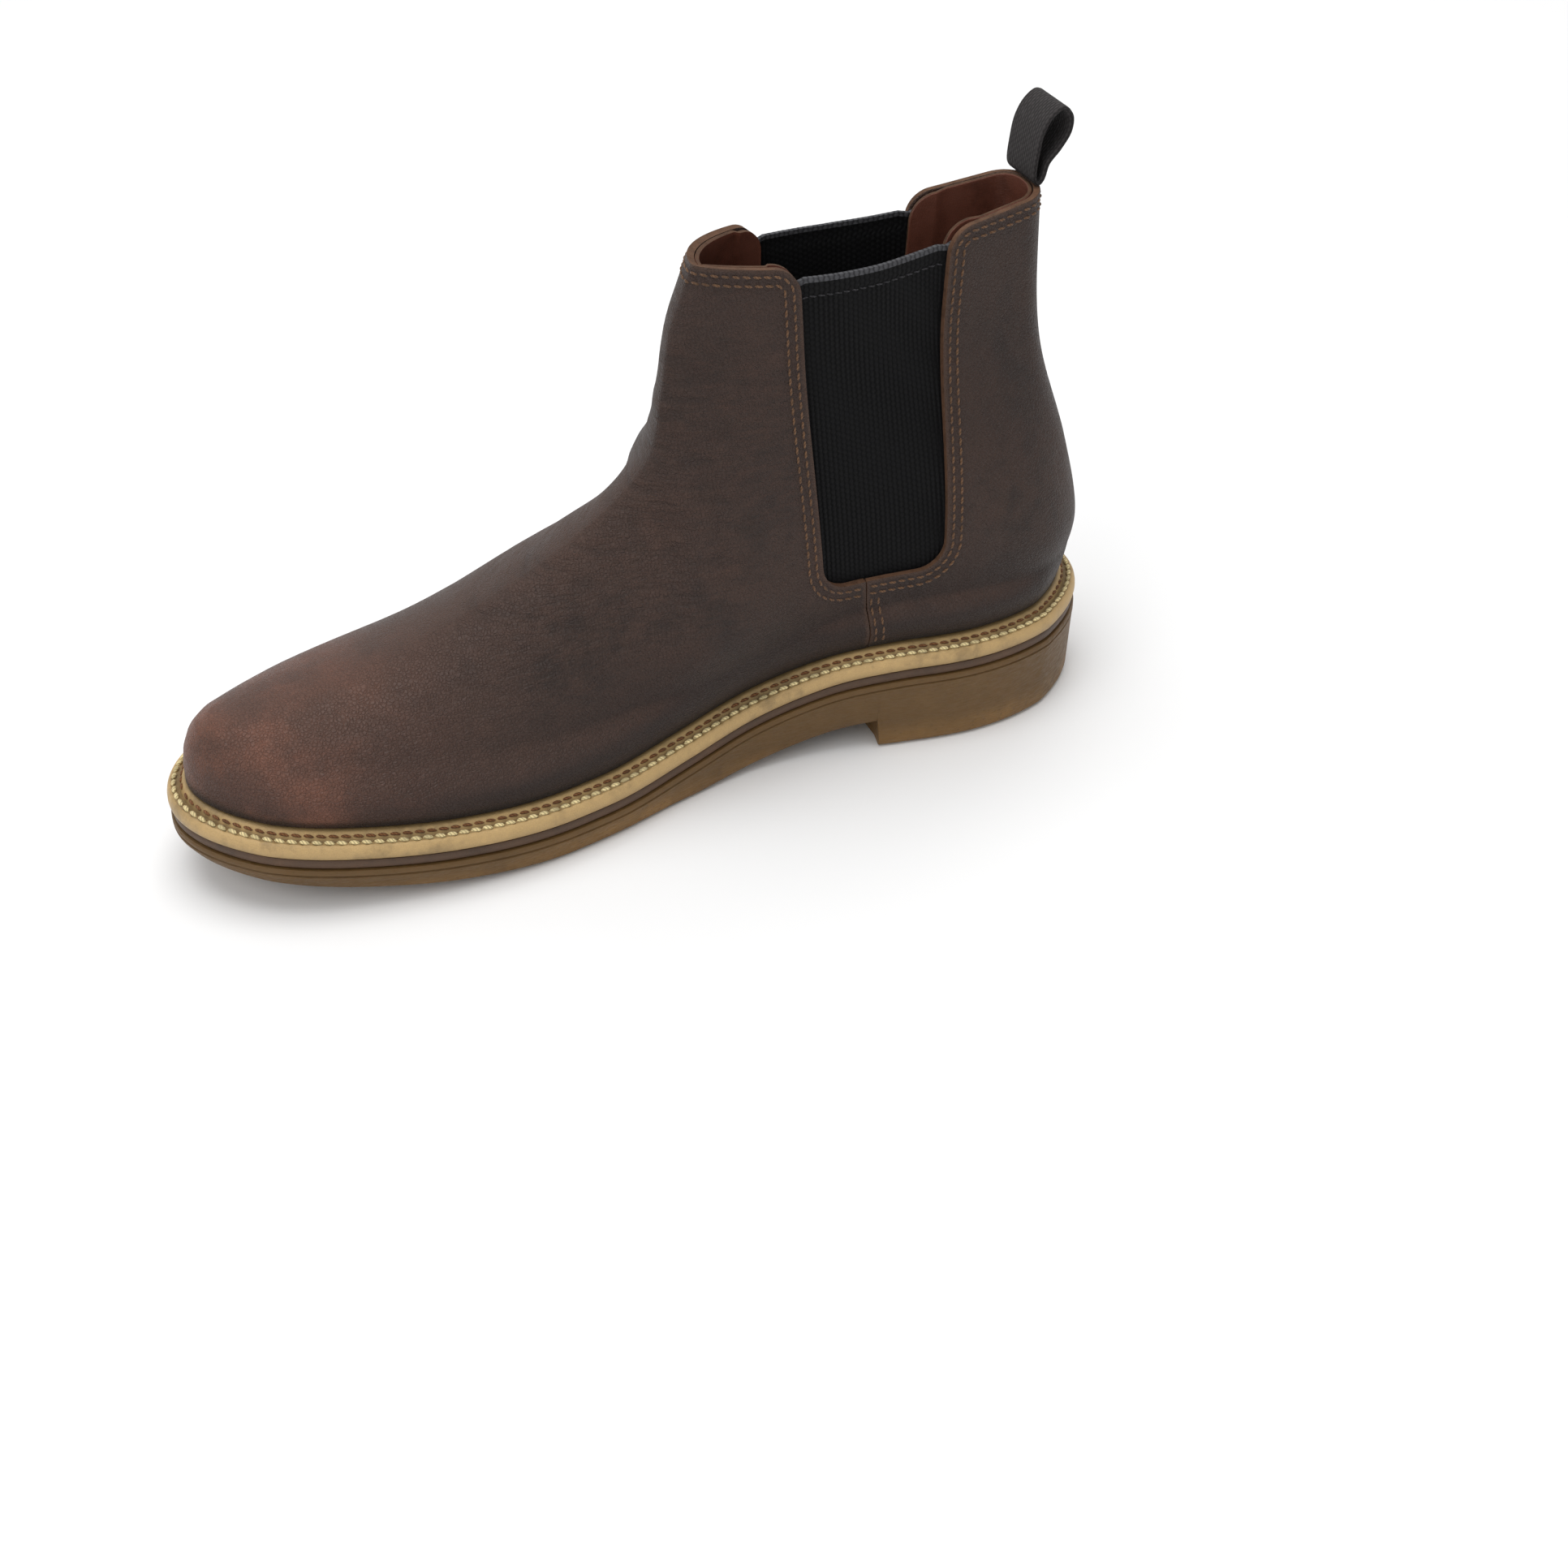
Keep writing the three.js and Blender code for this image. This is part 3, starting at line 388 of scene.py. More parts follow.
def front_piece(start, end):
    index = np.arange(len(FRONT))
    return lambda t: np.stack(
        [np.interp(lerp(start, end, np.asarray(t)), index, FRONT[:, k]) for k in range(2)], axis=-1
    )


def seat_line(start, end):
    def at(t):
        y = lerp(start, end, np.asarray(t))
        return np.stack([y, seat_height(share_at(y))], axis=-1)

    return at


def top_piece(start, end):
    def at(t):
        y = lerp(start, end, np.asarray(t))
        return np.stack([y, topline(y)], axis=-1)

    return at


def back_piece(start, end):
    def at(t):
        z = lerp(start, end, np.asarray(t))
        return np.stack([back_y_at(z), z], axis=-1)

    return at


def seat_point(y):
    return np.array([y, float(seat_height(share_at(y)))])


LEVEL_FRONT = FRONT[FRONT_SPLIT]
LEVEL_BACK = np.array([float(back_y_at(LEVEL_BACK_Z)), LEVEL_BACK_Z])
BACK_TOP_Y = float(back_y_at(BACK_HEIGHT))
FRONT_RISER = straight(seat_point(FRONT_FOOT_Y), GORE_FRONT_FOOT)
BACK_RISER = straight(seat_point(BACK_FOOT_Y), GORE_BACK_FOOT)
FRONT_EDGE = straight(GORE_FRONT_FOOT, GORE_FRONT_TOP)
BACK_EDGE = straight(GORE_BACK_FOOT, GORE_BACK_TOP)
LEVELS = [
    straight(LEVEL_FRONT, GORE_FRONT_FOOT),
    straight(GORE_FRONT_FOOT, GORE_BACK_FOOT),
    straight(GORE_BACK_FOOT, LEVEL_BACK),
]
BLOCKS = {  # bottom, top, left and right edges
    ("low", 0): (seat_line(y_at(0), FRONT_FOOT_Y), LEVELS[0], front_piece(0, FRONT_SPLIT), FRONT_RISER),
    ("low", 1): (seat_line(FRONT_FOOT_Y, BACK_FOOT_Y), LEVELS[1], FRONT_RISER, BACK_RISER),
    ("low", 2): (seat_line(BACK_FOOT_Y, HEEL_Y), LEVELS[2], BACK_RISER, back_piece(HEEL_SEAT, LEVEL_BACK_Z)),
    ("high", 0): (
        LEVELS[0],
        top_piece(FRONT_TOP_Y, GORE_FRONT_TOP[0]),
        front_piece(FRONT_SPLIT, len(FRONT) - 1),
        FRONT_EDGE,
    ),
    ("high", 1): (LEVELS[1], top_piece(GORE_FRONT_TOP[0], GORE_BACK_TOP[0]), FRONT_EDGE, BACK_EDGE),
    ("high", 2): (
        LEVELS[2],
        top_piece(GORE_BACK_TOP[0], BACK_TOP_Y),
        BACK_EDGE,
        back_piece(LEVEL_BACK_Z, BACK_HEIGHT),
    ),
}


def inside_block(edges, u, v):
    bottom, top, left, right = edges
    u, v = np.asarray(u, float), np.asarray(v, float)
    uu, vv = u[..., None], v[..., None]
    rims = bottom(u) * (1 - vv) + top(u) * vv + left(v) * (1 - uu) + right(v) * uu
    corners = bottom(0.0) * (1 - uu) * (1 - vv) + bottom(1.0) * uu * (1 - vv)
    return rims - corners - top(0.0) * (1 - uu) * vv - top(1.0) * uu * vv


def corner_frame(corner, along, up):
    """Turns side-view points into distances along two edges from their corner, and back."""
    basis = np.column_stack([unit(np.asarray(along) - corner), unit(np.asarray(up) - corner)])
    inverse = np.linalg.inv(basis)
    return (lambda p: (p - corner) @ inverse.T), (lambda q: q @ basis.T + corner)


def round_corner(points, corner, along, up, radius, falloff):
    """Pulls points near a square corner round an arc, and eases the change out beyond the corner."""
    to_frame, from_frame = corner_frame(corner, along, up)
    q = to_frame(points)
    inner = (radius - np.clip(q, 0, radius)) / radius
    s, t = inner[..., 0], inner[..., 1]
    disc = np.stack([s * np.sqrt(1 - t**2 / 2), t * np.sqrt(1 - s**2 / 2)], axis=-1)
    shift = (inner - disc) * radius
    away = np.linalg.norm(np.minimum(q, 0), axis=-1)
    ease = np.clip(1 - away / falloff, 0, 1) ** 2
    return from_frame(q + shift * ease[..., None])


# ------------------------------------------------------------------ the net of the upper

FRONT_COLUMNS, LAP_COLUMNS, SEAM_COLUMNS, GORE_COLUMNS, BACK_COLUMNS = 62, 5, 7, 12, 24
LOW_ROWS, LAP_ROWS, HIGH_ROWS, DROP_ROWS = 15, 5, 44, 3


def net_columns():
    """Columns from the front line to the back, each a block and its place for a row's length there."""
    lap = GORE_UNDERLAP
    columns = []
    for k in range(FRONT_COLUMNS + 1):
        bend = 1 - math.cos(k / FRONT_COLUMNS * math.pi / 2)
        columns.append((0, lambda length, b=bend: (1 - (lap + CLEARANCE) / length) * b))
    marks = {"lap_front": len(columns)}
    for k in range(LAP_COLUMNS):
        columns.append((0, lambda length, s=k / LAP_COLUMNS: 1 - lap * (1 - s) / length))
    marks["gore_front"] = len(columns)
    for k in range(SEAM_COLUMNS + 1):
        columns.append((1, lambda length, s=k / SEAM_COLUMNS: SIDE_SEAM_SETBACK * s / length))
    marks["seam"] = len(columns) - 1
    seam_end = SIDE_SEAM_SETBACK + CLEARANCE
    for k in range(GORE_COLUMNS):
        columns.append((1, lambda length, s=k / GORE_COLUMNS: lerp(seam_end / length, 1, s)))
    marks["gore_back"] = len(columns)
    for k in range(LAP_COLUMNS + 1):
        columns.append((2, lambda length, s=k / LAP_COLUMNS: lap * s / length))
    marks["lap_back"] = len(columns) - 1
    for k in range(BACK_COLUMNS + 1):
        bend = math.sin(k / BACK_COLUMNS * math.pi / 2)
        columns.append((2, lambda length, b=bend: lerp((lap + CLEARANCE) / length, 1, b)))
    marks["back"] = len(columns) - 1
    return columns, marks


def net_rows():
    lap_share = GORE_UNDERLAP / GORE_FOOT_RISE
    free = 1 - lap_share - CLEARANCE / GORE_FOOT_RISE
    rows = [("low", free * k / LOW_ROWS) for k in range(LOW_ROWS + 1)]
    marks = {"lap": len(rows)}
    rows += [("low", 1 - lap_share * (1 - k / LAP_ROWS)) for k in range(LAP_ROWS + 1)]
    marks["foot"] = len(rows) - 1
    top_share = 1 - GORE_DROP / (GORE_FRONT_TOP[1] - GORE_FOOT_Z)
    rows += [("high", top_share * k / HIGH_ROWS) for k in range(1, HIGH_ROWS + 1)]
    marks["gore_top"] = len(rows) - 1
    rows += [("high", lerp(top_share, 1, k / DROP_ROWS)) for k in range(1, DROP_ROWS + 1)]
    marks["top"] = len(rows) - 1
    return rows, marks


def side_net():
    columns, column_marks = net_columns()
    rows, row_marks = net_rows()
    points = np.zeros((len(columns), len(rows), 2))
    for j, (band, v) in enumerate(rows):
        for block in range(3):
            edges = BLOCKS[(band, block)]
            length = float(np.linalg.norm(edges[2](v) - edges[3](v)))
            ids = [i for i, (b, _) in enumerate(columns) if b == block]
            places = np.array([columns[i][1](length) for i in ids])
            points[ids, j] = inside_block(edges, places, np.full(len(ids), v))
    front_down, back_down = GORE_FRONT_FOOT, GORE_BACK_FOOT
    split = column_marks["gore_front"]
    points[: split + 1] = round_corner(
        points[: split + 1], GORE_FRONT_TOP, [FRONT_TOP_Y, FRONT_HEIGHT], front_down, TOP_CORNER, 8
    )
    split = column_marks["gore_back"]
    points[split:] = round_corner(
        points[split:], GORE_BACK_TOP, [BACK_TOP_Y, BACK_HEIGHT], back_down, TOP_CORNER, 8
    )
    for corner, along, up in (
        (GORE_FRONT_FOOT, GORE_BACK_FOOT, GORE_FRONT_TOP),
        (GORE_BACK_FOOT, GORE_FRONT_FOOT, GORE_BACK_TOP),
    ):
        points = round_corner(points, corner, along, up, FOOT_CORNER, 11)
    return points, {**column_marks, **row_marks}


def make_net():
    """The upper's outer face: places, directions out of it, flow lines and heights, for every net point."""
    side, marks = side_net()
    columns, rows = side.shape[:2]
    last = columns - 1
    index = {MEDIAL: np.arange(columns * rows).reshape(columns, rows)}
    lateral = np.zeros((columns, rows), int)
    lateral[1:last] = columns * rows + np.arange((columns - 2) * rows).reshape(columns - 2, rows)
    lateral[0], lateral[last] = index[MEDIAL][0], index[MEDIAL][last]
    index[LATERAL] = lateral
    count = columns * rows + (columns - 2) * rows
    place = np.zeros((count, 3))
    for which in (LATERAL, MEDIAL):
        y, z = side[..., 0], side[..., 1]
        x = upper_x(which, y, z)
        if which == MEDIAL:
            x[0] = middle_x(share_at(y[0]))
        place[index[which]] = np.stack([x, y, z], axis=-1)
    faces = np.vstack([net_faces(index, which, np.ones((last, rows - 1), bool)) for which in SIDES])
    normal = vertex_normals(place, faces)
    for which in SIDES:
        rim = index[which][:, 0]
        normal[rim, 2] = 0
    normal = unit(normal)
    around = np.zeros(count)
    for which in SIDES:
        steps = np.linalg.norm(np.diff(place[index[which]], axis=0), axis=-1)
        run = np.vstack([np.zeros(rows), np.cumsum(steps, axis=0)])
        around[index[which]] = which * run
    flow = np.column_stack([around, np.zeros(count)])
    for start in range(0, count, 2000):
        part = place[start : start + 2000, 1:]
        away = np.linalg.norm(part[:, None] - FRONT[None], axis=-1)
        flow[start : start + 2000, 1] = FRONT_RUN[away.argmin(1)]
    seat = place[:, 2] - seat_height(share_at(place[:, 1]))
    return {"index": index, "place": place, "normal": normal, "flow": flow, "seat": seat, "marks": marks}


def net_faces(index, which, has):
    ids = index[which]
    corners = np.stack([ids[:-1, :-1], ids[1:, :-1], ids[1:, 1:], ids[:-1, 1:]], axis=-1)[has]
    return corners if which == MEDIAL else corners[:, ::-1]


def vertex_normals(place, faces):
    p = place[faces]
    across = np.cross(p[:, 2] - p[:, 0], p[:, 3] - p[:, 1])
    total = np.zeros_like(place)
    for k in range(4):
        np.add.at(total, faces[:, k], across)
    return unit(total)


NET = make_net()
MARKS = NET["marks"]

# ------------------------------------------------------------------ mesh helpers


def new_object(name, vertices, faces, materials, slot_of_face=None, smooth_angle=40):
    mesh = bpy.data.meshes.new(name)
    mesh.from_pydata(placed(vertices).tolist(), [], [list(map(int, f)) for f in faces])
    for material in materials:
        mesh.materials.append(material)
    if slot_of_face is not None:
        mesh.polygons.foreach_set("material_index", np.asarray(slot_of_face, np.int32))
    mesh.validate()
    mesh.shade_smooth()
    mesh.set_sharp_from_angle(angle=math.radians(smooth_angle))
    mesh.update()
    piece = bpy.data.objects.new(name, mesh)
    bpy.context.scene.collection.objects.link(piece)
    return piece


def add_attribute(piece, name, values):
    attribute = piece.data.attributes.new(name, "FLOAT", "POINT")
    attribute.data.foreach_set("value", np.asarray(values, np.float32))


def add_uv(piece, name, per_vertex):
    """A UV map in metres, given one place for each vertex."""
    loops = np.zeros(len(piece.data.loops), np.int32)
    piece.data.loops.foreach_get("vertex_index", loops)
    layer = piece.data.uv_layers.new(name=name)
    layer.data.foreach_set("uv", np.asarray(per_vertex, np.float32)[loops].ravel())


def apply_modifier(piece, kind, **settings):
    modifier = piece.modifiers.new(kind.title(), kind)
    for key, value in settings.items():
        setattr(modifier, key, value)
    with bpy.context.temp_override(object=piece, active_object=piece, selected_objects=[piece]):
        bpy.ops.object.modifier_apply(modifier=modifier.name)


def finish_piece(piece, body, slot, *nodes):
    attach(piece, body)
    if nodes:
        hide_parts(*nodes)
    return piece


def edge_distance(place, edge_ids):
    tree = KDTree(len(edge_ids))
    for k in edge_ids:
        tree.insert(Vector(place[k]), int(k))
    tree.balance()
    return np.array([tree.find(Vector(p))[2] for p in place])


def sheet_piece(name, has, depth, thickness, materials, relief=None, face_slot=None, bevel=0.35):
    """A panel over chosen cells of the net: skin, underside and cut edges, with softened edges."""
    index, place, normal = NET["index"], NET["place"], NET["normal"]
    faces = np.vstack([net_faces(index, side, has[side]) for side in SIDES if has[side].any()])
    used, compact = np.unique(faces, return_inverse=True)
    faces = compact.reshape(faces.shape)
    count = len(used)
    edges = np.vstack([faces[:, [k, (k + 1) % 4]] for k in range(4)])
    key = edges[:, 0] * count + edges[:, 1]
    back_key = edges[:, 1] * count + edges[:, 0]
    rim = edges[~np.isin(key, back_key)]
    depths = depth(used) if callable(depth) else np.full(count, float(depth))
    outer = place[used] - normal[used] * depths[:, None]
    inner = outer - normal[used] * thickness
    seat = NET["seat"][used]
    trimmed = np.unique(rim[seat[rim].min(1) > 0.5])
    cut = edge_distance(outer, trimmed if len(trimmed) else np.unique(rim))
    if relief is not None:
        outer = outer + normal[used] * relief(used, cut)[:, None]
    rim_faces = np.column_stack([rim[:, 1], rim[:, 0], rim[:, 0] + count, rim[:, 1] + count])
    all_faces = np.vstack([faces, faces[:, ::-1] + count, rim_faces])
    if face_slot is None:
        face_slots = np.zeros(len(faces), int)
    else:
        face_slots = face_slot(place[used][faces].mean(1))
    slots = np.concatenate([face_slots, face_slots, np.full(len(rim_faces), len(materials) - 1)])
    piece = new_object(name, np.vstack([outer, inner]), all_faces, materials, slots)
    add_attribute(piece, "cut_edge", np.tile(cut, 2))
    add_attribute(piece, "above_seat", np.tile(seat, 2))
    if bevel:
        apply_modifier(
            piece, "BEVEL", width=bevel * MM, segments=2, limit_method="ANGLE", angle_limit=math.radians(55)
        )
    return piece


def closed_loft(name, sections, ring, materials, smooth_angle=40, across=0, wall=0):
    """A closed solid through equal sections, whose ends are capped unless it closes on itself.

    A cap is laddered between the two walls of a section: across points below, then wall points.
    """
    sections = np.asarray(sections, float)
    steps, count = sections.shape[:2]
    ids = np.arange(steps * count).reshape(steps, count)
    here = ids if ring else ids[:-1]
    ahead = np.roll(ids, -1, 0) if ring else ids[1:]
    quads = np.stack([here, np.roll(here, -1, 1), np.roll(ahead, -1, 1), ahead], axis=-1).reshape(-1, 4)
    faces = quads.tolist()
    if not ring:
        for k, turned in ((0, True), (-1, False)):
            one = ids[k][across : across + wall]
            other = ids[k][::-1][:wall]
            cap = [[other[1], other[0], *ids[k][:across], one[0], one[1]]]
            cap += [[other[j + 1], other[j], one[j], one[j + 1]] for j in range(1, wall - 2)]
            cap += [[other[-1], other[-2], one[-2], *ids[k][across + wall - 1 : count - wall]]]
            faces += [face[::-1] if turned else face for face in cap]
    vertices = sections.reshape(-1, 3)
    a, b, c, d = (vertices[quads[:, k]] for k in range(4))
    volume = np.einsum("ij,ij->i", a, np.cross(b, c) + np.cross(c, d)).sum()
    if volume < 0:
        faces = [f[::-1] for f in faces]
    return new_object(name, vertices, faces, materials, None, smooth_angle)


def rim_line(count):
    """Even stations round the feather line: places, directions outwards and shares of the length."""
    turns = np.linspace(0, math.pi, 900)
    share = share_of(turns)
    medial, lateral = (np.column_stack([feather_x(side, share), y_at(share)]) for side in SIDES)
    loop = np.vstack([medial, lateral[-2:0:-1], medial[:1]])
    run = arc_lengths(loop)
    want = np.arange(count) * run[-1] / count
    points = resample(loop, want)
    ahead = np.roll(points, -3, 0) - np.roll(points, 3, 0)
    out = unit(np.column_stack([ahead[:, 1], -ahead[:, 0]]))
    for _ in range(3):
        out = unit(out + np.roll(out, 1, 0) + np.roll(out, -1, 0))
    return points, out, share_at(points[:, 1]), run[-1]


def stitch_row(name, path, normals, material, pitch=3.1, width=0.85, height=0.42, slant=0.16, fill=0.84):
    """Single stitches laid one after another along a path, each an arched grain of thread."""
    run = arc_lengths(path)
    count = max(2, int(run[-1] / pitch))
    pitch = run[-1] / count
    both = np.column_stack([path, normals])
    sections, around = 7, 8
    t = np.linspace(-1, 1, sections)
    centres = (np.arange(count) + 0.5) * pitch
    places = centres[:, None] + t[None] * pitch * fill / 2
    sample = resample(both, places.ravel()).reshape(count, sections, 6)
    p, n = sample[..., :3], unit(sample[..., 3:])
    along = unit(np.gradient(p, axis=1))
    aside = unit(np.cross(along, n))
    swell = (1 - np.abs(t) ** 2.6) ** 0.5
    swell[[0, -1]] = 0.22
    lift = 0.16 * (1 - t**2) - 0.12
    middle = p + n * lift[None, :, None] + aside * (slant * t)[None, :, None]
    angle = np.arange(around) / around * 2 * math.pi
    ring = (
        np.cos(angle)[None, None, :, None] * aside[:, :, None] * width / 2
        + np.sin(angle)[None, None, :, None] * n[:, :, None] * height
    )
    vertices = middle[:, :, None] + ring * swell[None, :, None, None]
    ids = np.arange(count * sections * around).reshape(count, sections, around)
    here, ahead = ids[:, :-1], ids[:, 1:]
    quads = np.stack([here, np.roll(here, -1, 2), np.roll(ahead, -1, 2), ahead], axis=-1).reshape(-1, 4)
    faces = quads[:, ::-1].tolist() + ids[:, 0].tolist() + ids[:, -1, ::-1].tolist()
    piece = new_object(name, vertices.reshape(-1, 3), faces, [material], None, 60)
    add_uv(
        piece,
        "Thread",
        np.column_stack([
            np.tile(angle / (2 * math.pi), count * sections),
            np.repeat(places.ravel() * MM, around),
        ]),
    )
    return piece


def value_noise(x, y, seed):
    """Smooth noise between -1 and 1 over a plane, the same on every run."""
    table = np.random.default_rng(seed).uniform(-1, 1, (64, 64))
    xi, yi = np.floor(x).astype(int), np.floor(y).astype(int)
    u, v = x - xi, y - yi
    u, v = u * u * (3 - 2 * u), v * v * (3 - 2 * v)
    a, b = table[xi % 64, yi % 64], table[(xi + 1) % 64, yi % 64]
    c, d = table[xi % 64, (yi + 1) % 64], table[(xi + 1) % 64, (yi + 1) % 64]
    return lerp(lerp(a, b, u), lerp(c, d, u), v)


# ------------------------------------------------------------------ node helpers and groups


def rgb(red, green, blue):
    """A colour given as screen values from 0 to 255, as linear light."""
    channels = (c / 255 for c in (red, green, blue))
    return (*(c / 12.92 if c <= 0.04045 else ((c + 0.055) / 1.055) ** 2.4 for c in channels), 1.0)


def add_node(tree, kind, inputs=None, **settings):
    node = tree.nodes.new(kind)
    for key, value in settings.items():
        setattr(node, key, value)
    for socket, value in (inputs or {}).items():
        target = node.inputs[socket]
        if isinstance(value, bpy.types.NodeSocket):
            tree.links.new(value, target)
        else:
            target.default_value = value
    return node


def math_node(tree, operation, a, b=0.0, clamp=False):
    return add_node(tree, "ShaderNodeMath", {0: a, 1: b}, operation=operation, use_clamp=clamp).outputs[0]


def mix_colour(tree, factor, a, b):
    node = add_node(tree, "ShaderNodeMix", {0: factor}, data_type="RGBA", blend_type="MIX")
    for socket, value in ((node.inputs[6], a), (node.inputs[7], b)):
        if isinstance(value, bpy.types.NodeSocket):
            tree.links.new(value, socket)
        else:
            socket.default_value = value
    return node.outputs[2]


def map_range(tree, value, low, high, to_low=0.0, to_high=1.0, smooth=True):
    inputs = {"Value": value, "From Min": low, "From Max": high, "To Min": to_low, "To Max": to_high}
    kind = "SMOOTHSTEP" if smooth else "LINEAR"
    return add_node(tree, "ShaderNodeMapRange", inputs, interpolation_type=kind).outputs[0]


def noise_node(tree, vector, scale, detail=4.0, roughness=0.55):
    inputs = {"Vector": vector, "Scale": scale, "Detail": detail, "Roughness": roughness}
    return add_node(tree, "ShaderNodeTexNoise", inputs).outputs[0]


def new_group(name, inputs, outputs):
    tree = bpy.data.node_groups.new(name, "ShaderNodeTree")
    for label, kind, default in inputs:
        socket = tree.interface.new_socket(label, in_out="INPUT", socket_type="NodeSocket" + kind)
        if default is not None:
            socket.default_value = default
    for label, kind in outputs:
        tree.interface.new_socket(label, in_out="OUTPUT", socket_type="NodeSocket" + kind)
    return tree, tree.nodes.new("NodeGroupInput").outputs, tree.nodes.new("NodeGroupOutput").inputs


def leather_grain_group():
    """Pebbled grain with pores: fine cells of hide broken up by softer swells."""
    tree, given, out = new_group(
        "Leather Grain",
        [("Vector", "Vector", None), ("Scale", "Float", 900.0), ("Pebble", "Float", 0.6)],
        [("Height", "Float"), ("Pores", "Float")],
    )
    bend = add_node(tree, "ShaderNodeTexNoise", {"Vector": given[0], "Scale": 260.0, "Detail": 2.0})
    drift = add_node(
        tree, "ShaderNodeVectorMath", {0: bend.outputs[1], "Scale": 0.0012}, operation="SCALE"
    )
    moved = add_node(tree, "ShaderNodeVectorMath", {0: given[0], 1: drift.outputs[0]}, operation="ADD")
    cells = add_node(
        tree,
        "ShaderNodeTexVoronoi",
        {"Vector": moved.outputs[0], "Scale": given[1], "Randomness": 0.9},
        feature="DISTANCE_TO_EDGE",
    ).outputs[0]
    cell = map_range(tree, cells, 0.0, 0.22)
    swell = noise_node(tree, given[0], math_node(tree, "MULTIPLY", given[1], 0.3), 5.0)
    pores = noise_node(tree, given[0], math_node(tree, "MULTIPLY", given[1], 2.6), 2.0)
    pebbled = math_node(tree, "MULTIPLY", cell, given[2])
    height = math_node(tree, "ADD", pebbled, math_node(tree, "MULTIPLY", swell, 0.7))
    tree.links.new(math_node(tree, "ADD", height, math_node(tree, "MULTIPLY", pores, 0.3)), out[0])
    tree.links.new(map_range(tree, pores, 0.35, 0.62), out[1])
    return tree


def cloudy_colour_group():
    """A finish that drifts between three tones, as oiled or dyed material does."""
    tree, given, out = new_group(
        "Cloudy Colour",
        [
            ("Vector", "Vector", None),
            ("Scale", "Float", 40.0),
            ("Dark", "Color", (0.02, 0.01, 0.01, 1)),
            ("Middle", "Color", (0.05, 0.03, 0.02, 1)),
            ("Light", "Color", (0.1, 0.06, 0.04, 1)),
        ],
        [("Color", "Color"), ("Mask", "Float")],
    )
    broad = noise_node(tree, given[0], given[1], 5.0, 0.6)
    fine = noise_node(tree, given[0], math_node(tree, "MULTIPLY", given[1], 7.0), 3.0, 0.6)
    blend = math_node(
        tree, "ADD", math_node(tree, "MULTIPLY", broad, 0.75), math_node(tree, "MULTIPLY", fine, 0.25)
    )
    low = mix_colour(tree, map_range(tree, blend, 0.34, 0.52), given[2], given[3])
    tree.links.new(mix_colour(tree, map_range(tree, blend, 0.52, 0.7), low, given[4]), out[0])
    tree.links.new(blend, out[1])
    return tree


def edge_wear_group():
    """How rubbed a place is, from its distance in millimetres to the nearest edge."""
    tree, given, out = new_group(
        "Edge Wear",
        [("Vector", "Vector", None), ("Distance", "Float", 10.0), ("Reach", "Float", 2.0)],
        [("Mask", "Float")],
    )
    ragged = noise_node(tree, given[0], 420.0, 4.0, 0.65)
    reach = math_node(tree, "MULTIPLY", given[2], math_node(tree, "MULTIPLY", ragged, 1.9))
    share = math_node(tree, "DIVIDE", given[1], math_node(tree, "ADD", reach, 0.01))
    tree.links.new(map_range(tree, share, 0.25, 1.1, 1.0, 0.0), out[0])
    return tree


def ribbed_weave_group():
    """Ribs along one direction of a narrow fabric, with its threads crossing over and under."""
    tree, given, out = new_group(
        "Ribbed Weave",
        [("Vector", "Vector", None), ("Rib", "Float", 0.0012), ("Thread", "Float", 0.0006)],
        [("Height", "Float"), ("Mask", "Float")],
    )
    parts = add_node(tree, "ShaderNodeSeparateXYZ", {0: given[0]}).outputs
    across = math_node(tree, "DIVIDE", parts[0], given[1])
    along = math_node(tree, "DIVIDE", parts[1], given[2])
    rib = math_node(tree, "ABSOLUTE", math_node(tree, "SINE", math_node(tree, "MULTIPLY", across, math.pi)))
    step = math_node(tree, "MULTIPLY", math_node(tree, "FLOOR", across), math.pi)
    wave = math_node(tree, "SINE", math_node(tree, "ADD", math_node(tree, "MULTIPLY", along, math.pi), step))
    thread = math_node(tree, "MULTIPLY", math_node(tree, "ADD", wave, 1.0), 0.5)
    height = math_node(
        tree, "ADD", math_node(tree, "MULTIPLY", rib, 0.65), math_node(tree, "MULTIPLY", thread, 0.35)
    )
    tree.links.new(height, out[0])
    tree.links.new(map_range(tree, height, 0.2, 0.85), out[1])
    return tree


def twisted_thread_group():
    """The slanting plies of a sewing thread."""
    tree, given, out = new_group(
        "Twisted Thread",
        [("Vector", "Vector", None), ("Pitch", "Float", 0.0011)],
        [("Height", "Float"), ("Mask", "Float")],
    )
    parts = add_node(tree, "ShaderNodeSeparateXYZ", {0: given[0]}).outputs
    turns = math_node(tree, "DIVIDE", parts[1], given[1])
    slant = math_node(tree, "ADD", turns, math_node(tree, "MULTIPLY", parts[0], 2.0))
    ply = math_node(tree, "ABSOLUTE", math_node(tree, "SINE", math_node(tree, "MULTIPLY", slant, math.pi)))
    tree.links.new(ply, out[0])
    tree.links.new(map_range(tree, ply, 0.1, 0.8), out[1])
    return tree


GROUPS = {
    "grain": leather_grain_group(),
    "cloud": cloudy_colour_group(),
    "wear": edge_wear_group(),
    "weave": ribbed_weave_group(),
    "thread": twisted_thread_group(),
}


def use_group(tree, key, **inputs):
    node = add_node(tree, "ShaderNodeGroup", node_tree=GROUPS[key])
    for label, value in inputs.items():
        socket = node.inputs[label.title()]
        if isinstance(value, bpy.types.NodeSocket):
            tree.links.new(value, socket)
        else:
            socket.default_value = value
    return node.outputs


